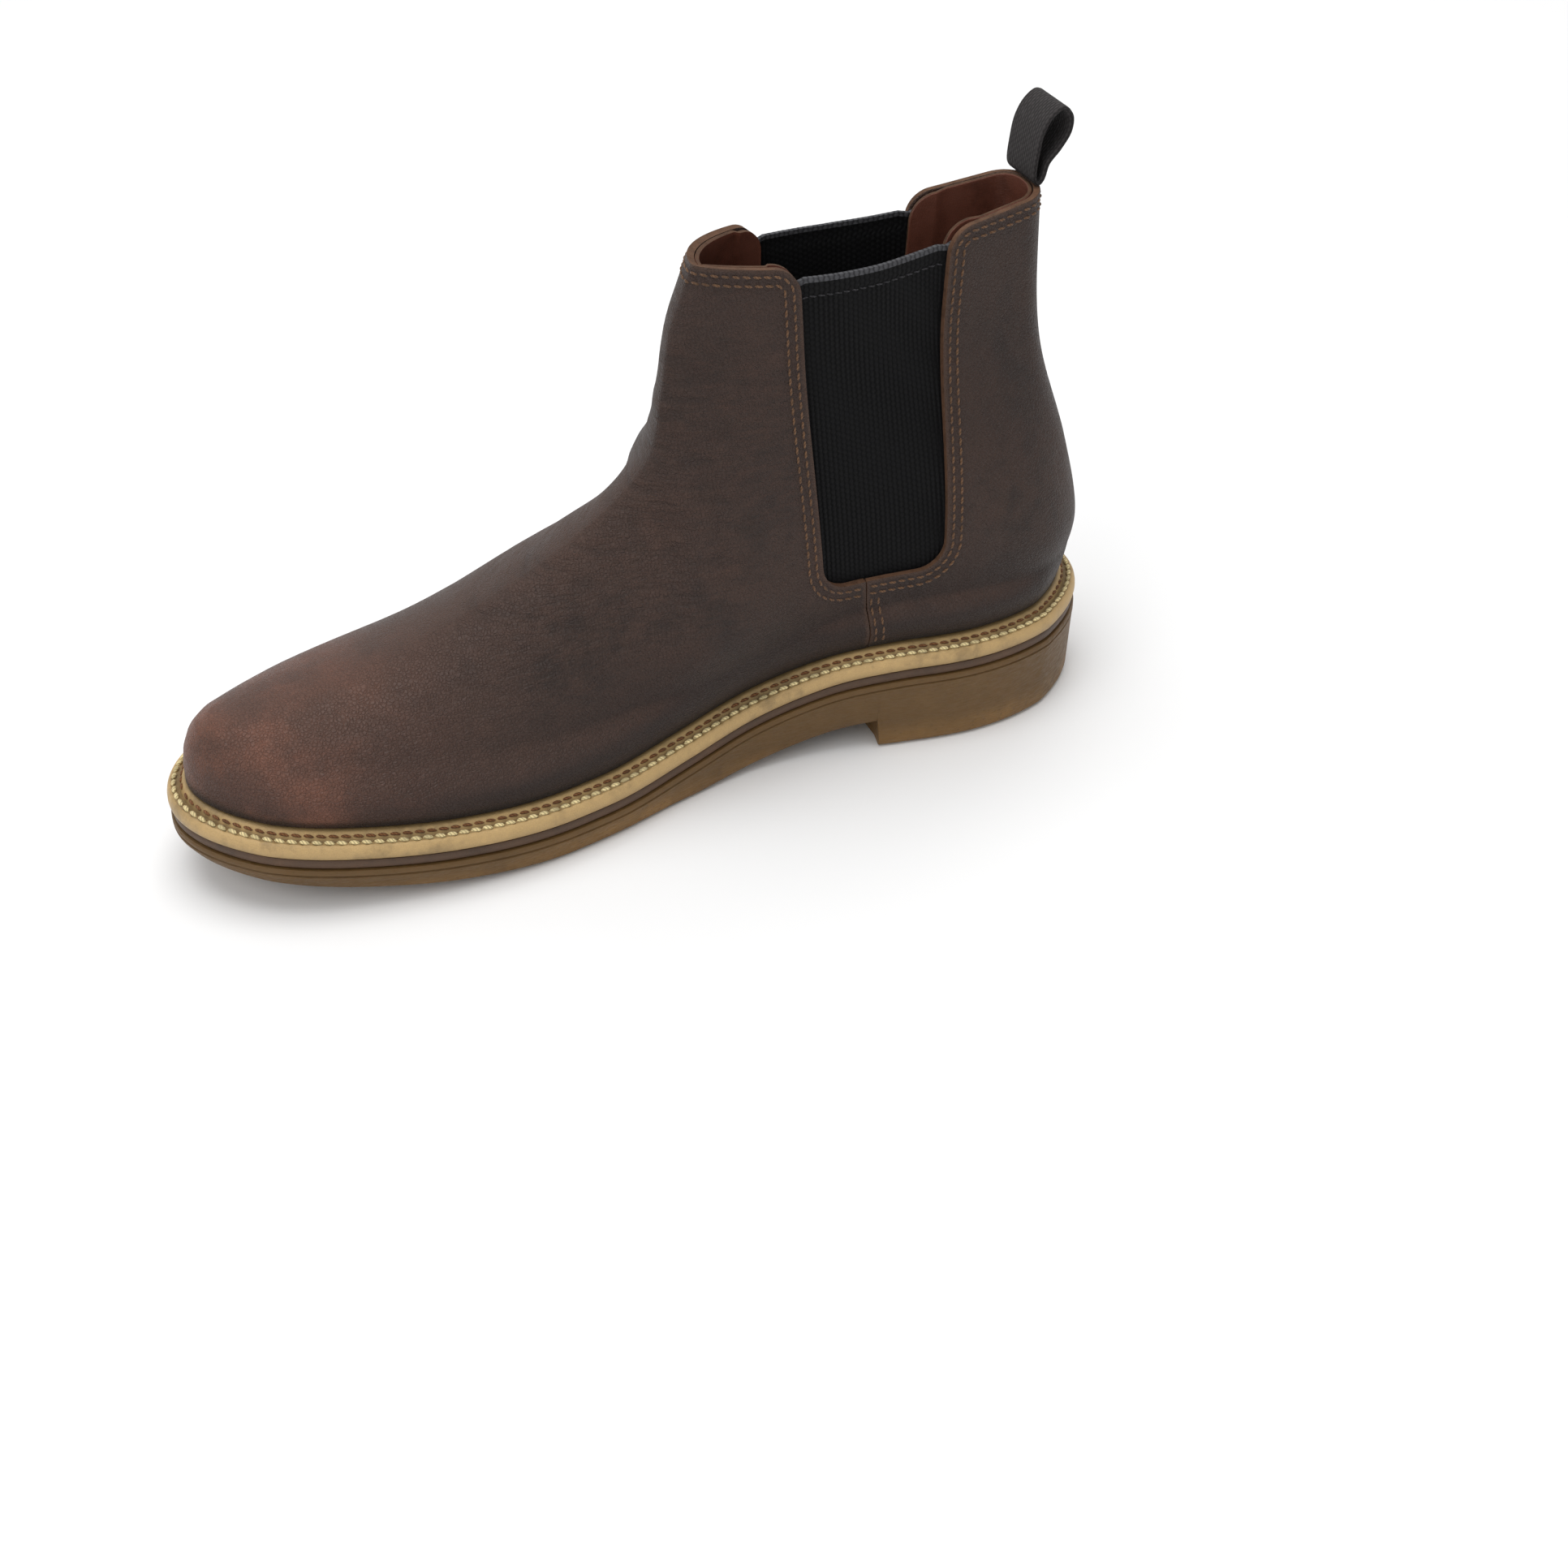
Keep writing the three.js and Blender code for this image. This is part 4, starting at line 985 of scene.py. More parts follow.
def new_material(name, **shader_values):
    """A material with its shader's constant values set, its tree and its place coordinates."""
    material = bpy.data.materials.new(name)
    material.use_nodes = True
    tree = material.node_tree
    shader = tree.nodes["Principled BSDF"]
    for label, value in shader_values.items():
        shader.inputs[label.replace("_", " ")].default_value = value
    place = tree.nodes.new("ShaderNodeTexCoord").outputs["Object"]
    return material, tree, shader, place


def attribute(tree, name):
    return add_node(tree, "ShaderNodeAttribute", attribute_name=name).outputs["Fac"]


def add_bump(tree, height, distance, strength=1.0, onto=None):
    inputs = {"Height": height, "Distance": distance, "Strength": strength}
    if onto is not None:
        inputs["Normal"] = onto
    return add_node(tree, "ShaderNodeBump", inputs).outputs[0]


def scaled_vector(tree, vector, scale):
    node = add_node(tree, "ShaderNodeMapping", {"Vector": vector, "Scale": scale})
    return node.outputs[0]


def tones(colour, dark=0.6, light=1.5):
    """A colour with its darker and lighter neighbours."""
    return [(*(min(1, c * f) for c in colour[:3]), 1.0) for f in (dark, 1.0, light)]


# ------------------------------------------------------------------ materials


def leather_material(settings):
    """Oiled pull-up leather: cloudy brown, a red burnish at the toe, creases over the instep; painted light
    on its up-facing tops and painted shade on its low sides, up the shaft, in the fold valleys and along its
    foot.
    """
    material, tree, shader, place = new_material(
        "Oiled leather", Specular_IOR_Level=0.34, Sheen_Weight=0.02, Sheen_Roughness=0.5
    )
    flex = attribute(tree, "flex")
    cut, seat = attribute(tree, "cut_edge"), attribute(tree, "above_seat")
    dark, middle, light = tones(tuple(settings.upper_colour), 0.42, 1.6)
    cloud = use_group(tree, "cloud", vector=place, scale=24.0, dark=dark, middle=middle, light=light)
    parts = add_node(tree, "ShaderNodeSeparateXYZ", {0: place}).outputs
    # Painted shade: leather low on the upper and facing sideways is darkened, by its height above the seat
    # and how little it faces up.
    low = map_range(tree, seat, 6.0, 44.0, 1.0, 0.0)
    side = math_node(tree, "MULTIPLY", low, map_range(tree, attribute(tree, "crown"), 0.5, 0.05))
    toe = map_range(tree, parts[1], -0.06, -0.128)
    patches = map_range(tree, noise_node(tree, place, 34.0, 5.0, 0.62), 0.38, 0.64)
    burnish = math_node(
        tree, "MULTIPLY", toe, math_node(tree, "ADD", math_node(tree, "MULTIPLY", patches, 0.6), 0.25)
    )
    sides = mix_colour(tree, math_node(tree, "MULTIPLY", side, 0.9), cloud[0], dark)
    # Painted shade: the leather is darkened higher up the shaft.
    shaft = map_range(tree, parts[2], 0.075, 0.11, 0.0, 0.34)
    sides = mix_colour(tree, shaft, sides, dark)
    # Painted light: leather that faces up is lightened.
    crown = map_range(tree, attribute(tree, "crown"), 0.35, 0.95, 0.0, 0.55)
    sides = mix_colour(tree, crown, sides, light)
    colour = mix_colour(tree, burnish, sides, tuple(settings.burnish_colour))
    streaks = noise_node(tree, scaled_vector(tree, place, (60.0, 130.0, 640.0)), 1.0, 5.0, 0.62)
    folds = noise_node(tree, scaled_vector(tree, place, (26.0, 60.0, 230.0)), 1.0, 4.0, 0.55)
    crease = math_node(tree, "MULTIPLY", map_range(tree, streaks, 0.42, 0.66), flex)
    colour = mix_colour(tree, math_node(tree, "MULTIPLY", crease, 0.34), colour, light)
    # Painted shade in the valleys of the folds over the instep.
    valley = math_node(tree, "MULTIPLY", map_range(tree, folds, 0.5, 0.32), flex)
    colour = mix_colour(tree, math_node(tree, "MULTIPLY", valley, 0.42), colour, dark)
    grain = use_group(tree, "grain", vector=place, scale=900.0, pebble=0.6)
    colour = mix_colour(tree, math_node(tree, "MULTIPLY", grain[1], 0.34), colour, dark)
    wear = use_group(tree, "wear", vector=place, distance=cut, reach=1.5)[0]
    rubbed = mix_colour(tree, 0.45, tuple(settings.edge_colour), middle)
    colour = mix_colour(tree, math_node(tree, "MULTIPLY", wear, 0.55), colour, rubbed)
    rolled = map_range(tree, cut, 5.6, 8.0, 0.14, 0.0)
    colour = mix_colour(tree, rolled, colour, dark)
    # Painted shadow: near black along the foot of the upper, in the crease where it meets the welt.
    painted_seat_shadow = map_range(tree, seat, 0.8, 3.6, 0.75, 0.0)
    colour = mix_colour(tree, painted_seat_shadow, colour, (0.006, 0.004, 0.003, 1))
    tree.links.new(colour, shader.inputs["Base Color"])
    rough = map_range(tree, cloud[1], 0.35, 0.7, 0.5, 0.64)
    rough = math_node(tree, "SUBTRACT", rough, math_node(tree, "MULTIPLY", toe, 0.06))
    rough = math_node(tree, "ADD", rough, math_node(tree, "MULTIPLY", crease, 0.08))
    tree.links.new(rough, shader.inputs["Roughness"])
    bump = add_bump(tree, grain[0], 0.0004, 0.85)
    bump = add_bump(tree, math_node(tree, "MULTIPLY", folds, flex), 0.0018, 0.75, bump)
    bump = add_bump(tree, math_node(tree, "MULTIPLY", streaks, flex), 0.001, 0.9, bump)
    tree.links.new(bump, shader.inputs["Normal"])
    return material


def cut_edge_material(name, colour):
    """The raw, fibrous edge of cut leather."""
    material, tree, shader, place = new_material(name, Specular_IOR_Level=0.2)
    dark, middle, light = tones(colour, 0.62, 1.3)
    cloud = use_group(tree, "cloud", vector=place, scale=260.0, dark=dark, middle=middle, light=light)
    fibres = noise_node(tree, scaled_vector(tree, place, (1.0, 1.0, 5.0)), 900.0, 4.0, 0.7)
    tree.links.new(cloud[0], shader.inputs["Base Color"])
    tree.links.new(map_range(tree, fibres, 0.3, 0.7, 0.7, 0.92), shader.inputs["Roughness"])
    tree.links.new(add_bump(tree, fibres, 0.0003, 0.9), shader.inputs["Normal"])
    return material


def smooth_leather_material(name, colour, roughness=0.5, scale=1500.0, pebble=0.4):
    """Lining, sock and label-side leather: finer grain, evenly dyed, polished by wear."""
    material, tree, shader, place = new_material(name, Specular_IOR_Level=0.4)
    dark, middle, light = tones(colour, 0.66, 1.35)
    cloud = use_group(tree, "cloud", vector=place, scale=55.0, dark=dark, middle=middle, light=light)
    grain = use_group(tree, "grain", vector=place, scale=scale, pebble=pebble)
    wear = use_group(tree, "wear", vector=place, distance=attribute(tree, "cut_edge"), reach=1.2)[0]
    colour_out = mix_colour(tree, math_node(tree, "MULTIPLY", grain[1], 0.22), cloud[0], dark)
    colour_out = mix_colour(tree, math_node(tree, "MULTIPLY", wear, 0.4), colour_out, light)
    tree.links.new(colour_out, shader.inputs["Base Color"])
    rough = map_range(tree, cloud[1], 0.35, 0.7, roughness - 0.06, roughness + 0.1)
    tree.links.new(rough, shader.inputs["Roughness"])
    tree.links.new(add_bump(tree, grain[0], 0.00016, 0.7), shader.inputs["Normal"])
    return material


def elastic_material(name, colour, rib, thread, lift=0.00025):
    """Narrow woven fabric: ribs with fine threads crossing them, and painted shade in the low parts between
    them.
    """
    material, tree, shader, place = new_material(
        name, Specular_IOR_Level=0.14, Sheen_Weight=0.025, Sheen_Roughness=0.4
    )
    cloth = add_node(tree, "ShaderNodeUVMap", uv_map="Cloth").outputs[0]
    weave = use_group(tree, "weave", vector=cloth, rib=rib, thread=thread)
    dark, middle, light = tones(colour, 0.45, 1.9)
    fluff = noise_node(tree, place, 420.0, 3.0, 0.6)
    # Painted shade: the low parts of the weave are darkened.
    base = mix_colour(tree, weave[1], dark, middle)
    lint = math_node(tree, "MULTIPLY", map_range(tree, fluff, 0.5, 0.75), 0.22)
    tree.links.new(mix_colour(tree, lint, base, light), shader.inputs["Base Color"])
    tree.links.new(map_range(tree, weave[0], 0.1, 0.9, 0.9, 0.7), shader.inputs["Roughness"])
    tree.links.new(add_bump(tree, weave[0], lift, 0.9), shader.inputs["Normal"])
    return material


def thread_material(name, colour):
    material, tree, shader, place = new_material(name, Specular_IOR_Level=0.3, Sheen_Weight=0.1)
    twist = use_group(tree, "thread", vector=add_node(tree, "ShaderNodeUVMap", uv_map="Thread").outputs[0])
    dark, middle, light = tones(colour, 0.55, 1.2)
    cloud = use_group(tree, "cloud", vector=place, scale=120.0, dark=dark, middle=middle, light=light)
    # Painted shade in the grooves between the plies.
    tree.links.new(mix_colour(tree, twist[1], dark, cloud[0]), shader.inputs["Base Color"])
    tree.links.new(map_range(tree, twist[0], 0.0, 1.0, 0.85, 0.65), shader.inputs["Roughness"])
    tree.links.new(add_bump(tree, twist[0], 0.00018, 0.9), shader.inputs["Normal"])
    return material


def gum_material(colour):
    """Gum rubber with crumbs and specks in it, a matt skin, rubbed edges and painted shade towards the top of
    its wall.
    """
    material, tree, shader, place = new_material(
        "Gum rubber", Specular_IOR_Level=0.36, Subsurface_Weight=0.06, Subsurface_Scale=0.002
    )
    dark, middle, light = tones(colour, 0.55, 1.35)
    cloud = use_group(tree, "cloud", vector=place, scale=30.0, dark=dark, middle=middle, light=light)
    crumbs = add_node(tree, "ShaderNodeTexVoronoi", {"Vector": place, "Scale": 520.0}).outputs
    speck = map_range(tree, crumbs["Distance"], 0.12, 0.3, 0.5, 0.0)
    cloudy = mix_colour(tree, speck, cloud[0], dark)
    wear = use_group(tree, "wear", vector=place, distance=attribute(tree, "cut_edge"), reach=1.6)[0]
    # Painted shade: the wall is darkened upwards, towards the midsole and welt above it.
    high = map_range(tree, attribute(tree, "cut_edge"), 2.0, 9.0, 0.0, 0.75)
    cloudy = mix_colour(tree, high, cloudy, dark)
    worn = mix_colour(tree, math_node(tree, "MULTIPLY", wear, 0.35), cloudy, light)
    tree.links.new(worn, shader.inputs["Base Color"])
    drag = noise_node(tree, scaled_vector(tree, place, (1.0, 1.0, 6.0)), 240.0, 5.0, 0.6)
    tree.links.new(map_range(tree, drag, 0.35, 0.7, 0.46, 0.68), shader.inputs["Roughness"])
    bump = add_bump(tree, drag, 0.0005, 0.5)
    tree.links.new(add_bump(tree, crumbs["Distance"], 0.0003, 0.5, bump), shader.inputs["Normal"])
    return material


def welt_material(colour):
    """Natural welt leather, waxed, with darker handling marks, and painted shade down its outer wall, in its
    groove and against the upper.
    """
    material, tree, shader, place = new_material("Welt leather", Specular_IOR_Level=0.45)
    dark, middle, light = tones(colour, 0.55, 1.25)
    cloud = use_group(tree, "cloud", vector=place, scale=48.0, dark=dark, middle=middle, light=light)
    grain = use_group(tree, "grain", vector=place, scale=1700.0, pebble=0.3)
    # Painted shade from the groove attribute: darker down the outer wall, in the groove and where the welt
    # meets the upper.
    groove = map_range(tree, attribute(tree, "groove"), 0.15, 0.95, 0.0, 0.72)
    colour_out = mix_colour(tree, groove, cloud[0], (*(c * 0.28 for c in colour[:3]), 1.0))
    colour_out = mix_colour(tree, math_node(tree, "MULTIPLY", grain[1], 0.3), colour_out, dark)
    tree.links.new(colour_out, shader.inputs["Base Color"])
    tree.links.new(map_range(tree, cloud[1], 0.35, 0.7, 0.42, 0.6), shader.inputs["Roughness"])
    tree.links.new(add_bump(tree, grain[0], 0.0002, 0.7), shader.inputs["Normal"])
    return material


def cork_material():
    material, tree, shader, place = new_material("Cork")
    crumbs = add_node(tree, "ShaderNodeTexVoronoi", {"Vector": place, "Scale": 480.0}).outputs
    tint = add_node(tree, "ShaderNodeSeparateColor", {0: crumbs["Color"]}).outputs[0]
    colour = mix_colour(tree, tint, rgb(120, 82, 48), rgb(190, 146, 96))
    seams = map_range(tree, crumbs["Distance"], 0.35, 0.7)
    tree.links.new(mix_colour(tree, seams, colour, rgb(70, 46, 28)), shader.inputs["Base Color"])
    tree.links.new(map_range(tree, crumbs["Distance"], 0.0, 0.8, 0.85, 0.98), shader.inputs["Roughness"])
    tree.links.new(add_bump(tree, crumbs["Distance"], 0.0006, 0.8), shader.inputs["Normal"])
    return material


def steel_material():
    material, tree, shader, place = new_material("Spring steel", Metallic=1.0)
    scratches = noise_node(tree, scaled_vector(tree, place, (1.0, 0.04, 1.0)), 2400.0, 3.0)
    tree.links.new(
        mix_colour(tree, scratches, rgb(120, 121, 126), rgb(176, 176, 180)), shader.inputs["Base Color"]
    )
    tree.links.new(map_range(tree, scratches, 0.3, 0.7, 0.28, 0.46), shader.inputs["Roughness"])
    tree.links.new(add_bump(tree, scratches, 0.00005, 0.5), shader.inputs["Normal"])
    return material


def fibre_material(name, colour):
    """Pressed board or stiffener: short fibres in every direction."""
    material, tree, shader, place = new_material(name, Specular_IOR_Level=0.25)
    dark, middle, light = tones(colour, 0.7, 1.2)
    cloud = use_group(tree, "cloud", vector=place, scale=180.0, dark=dark, middle=middle, light=light)
    fibres = noise_node(tree, scaled_vector(tree, place, (1.0, 3.0, 1.0)), 1300.0, 6.0, 0.75)
    tree.links.new(
        mix_colour(tree, map_range(tree, fibres, 0.5, 0.7, 0.0, 0.5), cloud[0], dark),
        shader.inputs["Base Color"],
    )
    tree.links.new(map_range(tree, fibres, 0.3, 0.7, 0.78, 0.95), shader.inputs["Roughness"])
    tree.links.new(add_bump(tree, fibres, 0.0002, 0.8), shader.inputs["Normal"])
    return material

# ------------------------------------------------------------------ what a user may change


class BootLeatherSettings(bpy.types.PropertyGroup):
    """Colours and relief of the upper and its lining."""

    upper_colour: FloatVectorProperty(
        name="Upper", description="Colour of the oiled leather", subtype="COLOR", size=4, min=0, max=1,
        default=rgb(62, 44, 36),
    )
    burnish_colour: FloatVectorProperty(
        name="Burnish", description="Red tone rubbed into the toe", subtype="COLOR", size=4, min=0, max=1,
        default=rgb(122, 78, 60),
    )
    edge_colour: FloatVectorProperty(
        name="Cut edge", description="Colour of the raw cut edges", subtype="COLOR", size=4, min=0, max=1,
        default=rgb(92, 66, 49),
    )
    lining_colour: FloatVectorProperty(
        name="Lining", description="Colour of the lining by the opening", subtype="COLOR", size=4, min=0,
        max=1, default=rgb(98, 56, 42),
    )
    fold_height: FloatProperty(
        name="Fold height", description="How far the soft folds over the instep stand out",
        default=0.00028, min=0, max=0.001, subtype="DISTANCE", unit="LENGTH",
    )


class BootElasticSettings(bpy.types.PropertyGroup):
    """Colours and ribs of the gores and the pull loop."""

    gore_colour: FloatVectorProperty(
        name="Gore", description="Colour of the elastic", subtype="COLOR", size=4, min=0, max=1,
        default=rgb(15, 15, 16),
    )
    loop_colour: FloatVectorProperty(
        name="Pull loop", description="Colour of the webbing", subtype="COLOR", size=4, min=0, max=1,
        default=rgb(60, 57, 57),
    )
    rib_spacing: FloatProperty(
        name="Rib spacing", description="From one rib of the elastic to the next",
        default=0.0016, min=0.0008, max=0.004, subtype="DISTANCE", unit="LENGTH",
    )


class BootStitchSettings(bpy.types.PropertyGroup):
    """Threads and stitch lengths."""

    upper_thread: FloatVectorProperty(
        name="Upper thread", description="Thread of the rows on the upper", subtype="COLOR", size=4, min=0,
        max=1, default=rgb(108, 78, 54),
    )
    welt_thread: FloatVectorProperty(
        name="Welt thread", description="Thread of the row on the welt", subtype="COLOR", size=4, min=0,
        max=1, default=rgb(232, 212, 158),
    )
    upper_stitch: FloatProperty(
        name="Upper stitch", description="Length of a stitch on the upper",
        default=0.003, min=0.0015, max=0.008, subtype="DISTANCE", unit="LENGTH",
    )
    welt_stitch: FloatProperty(
        name="Welt stitch", description="Length of a stitch on the welt",
        default=0.0035, min=0.002, max=0.01, subtype="DISTANCE", unit="LENGTH",
    )


class BootSoleSettings(bpy.types.PropertyGroup):
    """Colours of the sole's layers and the depth of its tread."""

    gum_colour: FloatVectorProperty(
        name="Outsole", description="Colour of the gum rubber", subtype="COLOR", size=4, min=0, max=1,
        default=rgb(118, 88, 48),
    )
    welt_colour: FloatVectorProperty(
        name="Welt", description="Colour of the welt leather", subtype="COLOR", size=4, min=0, max=1,
        default=rgb(192, 160, 108),
    )
    midsole_colour: FloatVectorProperty(
        name="Midsole", description="Colour of the midsole", subtype="COLOR", size=4, min=0, max=1,
        default=rgb(84, 62, 45),
    )
    footbed_colour: FloatVectorProperty(
        name="Footbed", description="Colour of the footbed's leather", subtype="COLOR", size=4, min=0,
        max=1, default=rgb(84, 56, 40),
    )
    tread_depth: FloatProperty(
        name="Tread depth", description="Depth of the grooves in the outsole",
        default=0.0018, min=0, max=0.003, subtype="DISTANCE", unit="LENGTH",
    )


class BootStageSettings(bpy.types.PropertyGroup):
    """Floor and light."""

    floor_colour: FloatVectorProperty(
        name="Floor", description="Colour of the floor", subtype="COLOR", size=4, min=0, max=1,
        default=(0.9, 0.9, 0.9, 1.0),
    )
    light_power: FloatProperty(
        name="Light", description="Power of the main light", default=17.5, min=0, max=400,
        subtype="POWER", unit="POWER",
    )


# ------------------------------------------------------------------ pieces

COLUMN_CELLS = np.arange(MARKS["back"])[:, None]
ROW_CELLS = np.arange(MARKS["top"])[None, :]
UNDER_LEATHER = LEATHER + CLEARANCE
BACK_LAYER = UNDER_LEATHER + LINING + CLEARANCE


def both(mask):
    return {side: mask for side in SIDES}


def front_cells():
    below = (COLUMN_CELLS < MARKS["seam"]) & (ROW_CELLS < MARKS["foot"])
    return (COLUMN_CELLS < MARKS["gore_front"]) | below


def back_cells():
    below = (COLUMN_CELLS > MARKS["seam"]) & (ROW_CELLS < MARKS["foot"])
    return (COLUMN_CELLS >= MARKS["gore_back"]) | below


def flex_of(ids):
    """Where the leather creases in walking: across the instep and the front of the shaft."""
    v, u = NET["flow"][ids, 1], np.abs(NET["flow"][ids, 0])
    share = share_at(NET["place"][ids, 1])
    start, full = FRONT_RUN[FRONT_SPLIT] * 0.72, FRONT_RUN[FRONT_SPLIT] * 1.25
    along = smoothstep(v, start, full) * (1 - 0.45 * smoothstep(v, FRONT_RUN[-1] * 0.82, FRONT_RUN[-1]))
    return np.clip(along * (1 - smoothstep(u, 45, 120) * 0.75) * (1 - smoothstep(share, 0.66, 0.8)), 0, 1)


def fold_relief(height):
    """Soft folds that cross the instep and fade towards the cut edges."""

    def relief(ids, cut):
        x, y, z = NET["place"][ids].T
        level = z + 0.12 * y
        long_folds = value_noise(x / 34 + y / 60, level / 8.5, 11)
        long_folds += 0.6 * value_noise(x / 26 + y / 40, level / 4.6, 12)
        drape = value_noise(x / 38 + y / 42, z / 34, 13)
        quiet = smoothstep(cut, 5, 14) * smoothstep(NET["seat"][ids], 1.5, 9)
        return quiet * (height * long_folds * flex_of(ids) + 0.35 * height * drape)

    return relief


def wrap_attributes(piece, ids):
    add_attribute(piece, "flex", np.tile(flex_of(ids), 2))
    # crown: how far the outer face looks up; the leather's colour paints light on the tops and shade on the
    # sides from it.
    add_attribute(piece, "crown", np.tile(NET["normal"][ids, 2], 2))


def used_ids(has):
    return np.unique(np.vstack([net_faces(NET["index"], s, has[s]) for s in SIDES if has[s].any()]))


def leather_panel(name, cells, node, materials, fold_height):
    has = both(cells)
    piece = sheet_piece(name, has, 0.0, LEATHER, materials, relief=fold_relief(fold_height), bevel=0)
    wrap_attributes(piece, used_ids(has))
    apply_modifier(
        piece, "BEVEL", width=0.5 * MM, segments=3, limit_method="ANGLE", angle_limit=math.radians(55)
    )
    return finish_piece(piece, "boot", "upper_leather", node)


class BOOT_OT_upper(bpy.types.Operator):
    """Make the front panel and the back panel of oiled leather"""

    bl_idname = "boot.upper"
    bl_label = "Upper"

    def execute(self, context):
        settings = context.scene.boot_leather
        skin = leather_material(settings)
        edge = cut_edge_material("Raw leather edge", tuple(settings.edge_colour))
        fold = settings.fold_height / MM
        leather_panel("vamp_leather", front_cells(), "vamp", [skin, edge], fold)
        leather_panel("quarter_leather", back_cells(), "quarter", [skin, edge], fold * 0.7)
        return {"FINISHED"}


def net_patch(side, columns, rows, depth, across, down):
    """A finer grid over part of the net on one side, even in both directions."""
    ids = NET["index"][side][columns[0] : columns[1] + 1, rows[0] : rows[1] + 1]
    both_parts = np.concatenate([NET["place"][ids], NET["normal"][ids]], axis=-1)
    grid = []
    for j in range(ids.shape[1]):
        line = both_parts[:, j]
        grid.append(resample(line, np.linspace(0, arc_lengths(line[:, :3])[-1], across)))
    grid = np.array(grid)
    tall = []
    for i in range(across):
        line = grid[:, i]
        tall.append(resample(line, np.linspace(0, arc_lengths(line[:, :3])[-1], down)))
    tall = np.array(tall)
    normal = unit(tall[..., 3:])
    return tall[..., :3] - normal * depth, normal


def patch_piece(name, outer, normal, thickness, materials, slot_of_row=None, flip=False):
    """A sheet from a grid of places [across, up], with a cloth UV map in metres."""
    across, up = outer.shape[:2]
    inner = outer - normal * (thickness if np.ndim(thickness) == 0 else thickness[..., None])
    ids = np.arange(across * up).reshape(across, up)
    quads = np.stack([ids[:-1, :-1], ids[1:, :-1], ids[1:, 1:], ids[:-1, 1:]], axis=-1)
    rows = np.tile(np.arange(up - 1), (across - 1, 1)).ravel()
    faces = quads.reshape(-1, 4)
    ring = np.concatenate([ids[:, 0], ids[-1, 1:], ids[-2::-1, -1], ids[0, -2:0:-1]])
    step = np.roll(ring, -1)
    rim = np.column_stack([step, ring, ring + across * up, step + across * up])
    every = np.vstack([faces, faces[:, ::-1] + across * up, rim])
    if flip:
        every = every[:, ::-1]
    slots = None
    if slot_of_row is not None:
        rim_rows = np.minimum(ring % up, up - 2)
        slots = np.concatenate([slot_of_row(rows), slot_of_row(rows), slot_of_row(rim_rows)])
    piece = new_object(name, np.vstack([outer.reshape(-1, 3), inner.reshape(-1, 3)]), every, materials, slots)
    u = np.concatenate([np.zeros((1, up)), np.cumsum(np.linalg.norm(np.diff(outer, axis=0), axis=-1), 0)])
    v = np.concatenate(
        [np.zeros((across, 1)), np.cumsum(np.linalg.norm(np.diff(outer, axis=1), axis=-1), 1)], 1
    )
    add_uv(piece, "Cloth", np.tile(np.stack([u, v], axis=-1).reshape(-1, 2) * MM, (2, 1)))
    return piece, float(u[-1].mean()), float(v[:, -1].mean())


class BOOT_OT_gores(bpy.types.Operator):
    """Make the two elastic gores, with their ribs and turned top hems"""

    bl_idname = "boot.gores"
    bl_label = "Elastic gores"

    def execute(self, context):
        settings = context.scene.boot_elastic
        rib = settings.rib_spacing
        cloth = elastic_material("Gore elastic", tuple(settings.gore_colour), rib, rib * 0.55)
        hem = elastic_material("Gore hem", rgb(74, 74, 77), rib, rib * 0.55)
        thread = thread_material("Gore thread", rgb(48, 46, 50))
        columns = (MARKS["lap_front"], MARKS["lap_back"])
        rows = (MARKS["lap"], MARKS["gore_top"])
        for side, node in ((MEDIAL, "gore_medial"), (LATERAL, "gore_lateral")):
            across, down = 241, 76
            outer, normal = net_patch(side, columns, rows, UNDER_LEATHER, across, down)
            run = arc_lengths(outer[:, down // 2])
            ribs = GORE_RIB_RELIEF * np.sin(run / (rib / MM) * 2 * math.pi)[:, None]
            height = arc_lengths(outer[across // 2])
            from_top = (height[-1] - height)[None, :]
            hem_lift = 0.28 * (1 - smoothstep(from_top, 4.2, 5.4))
            hem_roll = -0.25 * (1 - smoothstep(from_top, 0, 1.2))
            eased = ribs * (1 - 0.6 * (from_top < HEM_DEPTH))  # the ribs show less through the hem
            outer = outer + normal * (eased + hem_lift + hem_roll)[..., None]
            grey_rows = int((from_top > 1.1).sum())
            piece, width, length = patch_piece(
                node + "_elastic", outer, normal, LINING, [cloth, hem],
                lambda r: np.where(r >= grey_rows - 1, 1, 0), flip=side == LATERAL,
            )
            finish_piece(piece, "boot", "elastic", node)
            row = down - 1 - int((from_top < HEM_DEPTH).sum())
            inside = slice(int(across * 0.13), int(across * 0.87))
            path, out = outer[inside, row] + normal[inside, row] * 0.12, normal[inside, row]
            stitches = stitch_row(node + "_hem_stitches", path, out, thread, 2.6, 0.5, 0.25)
            finish_piece(stitches, "boot", "elastic")
        return {"FINISHED"}


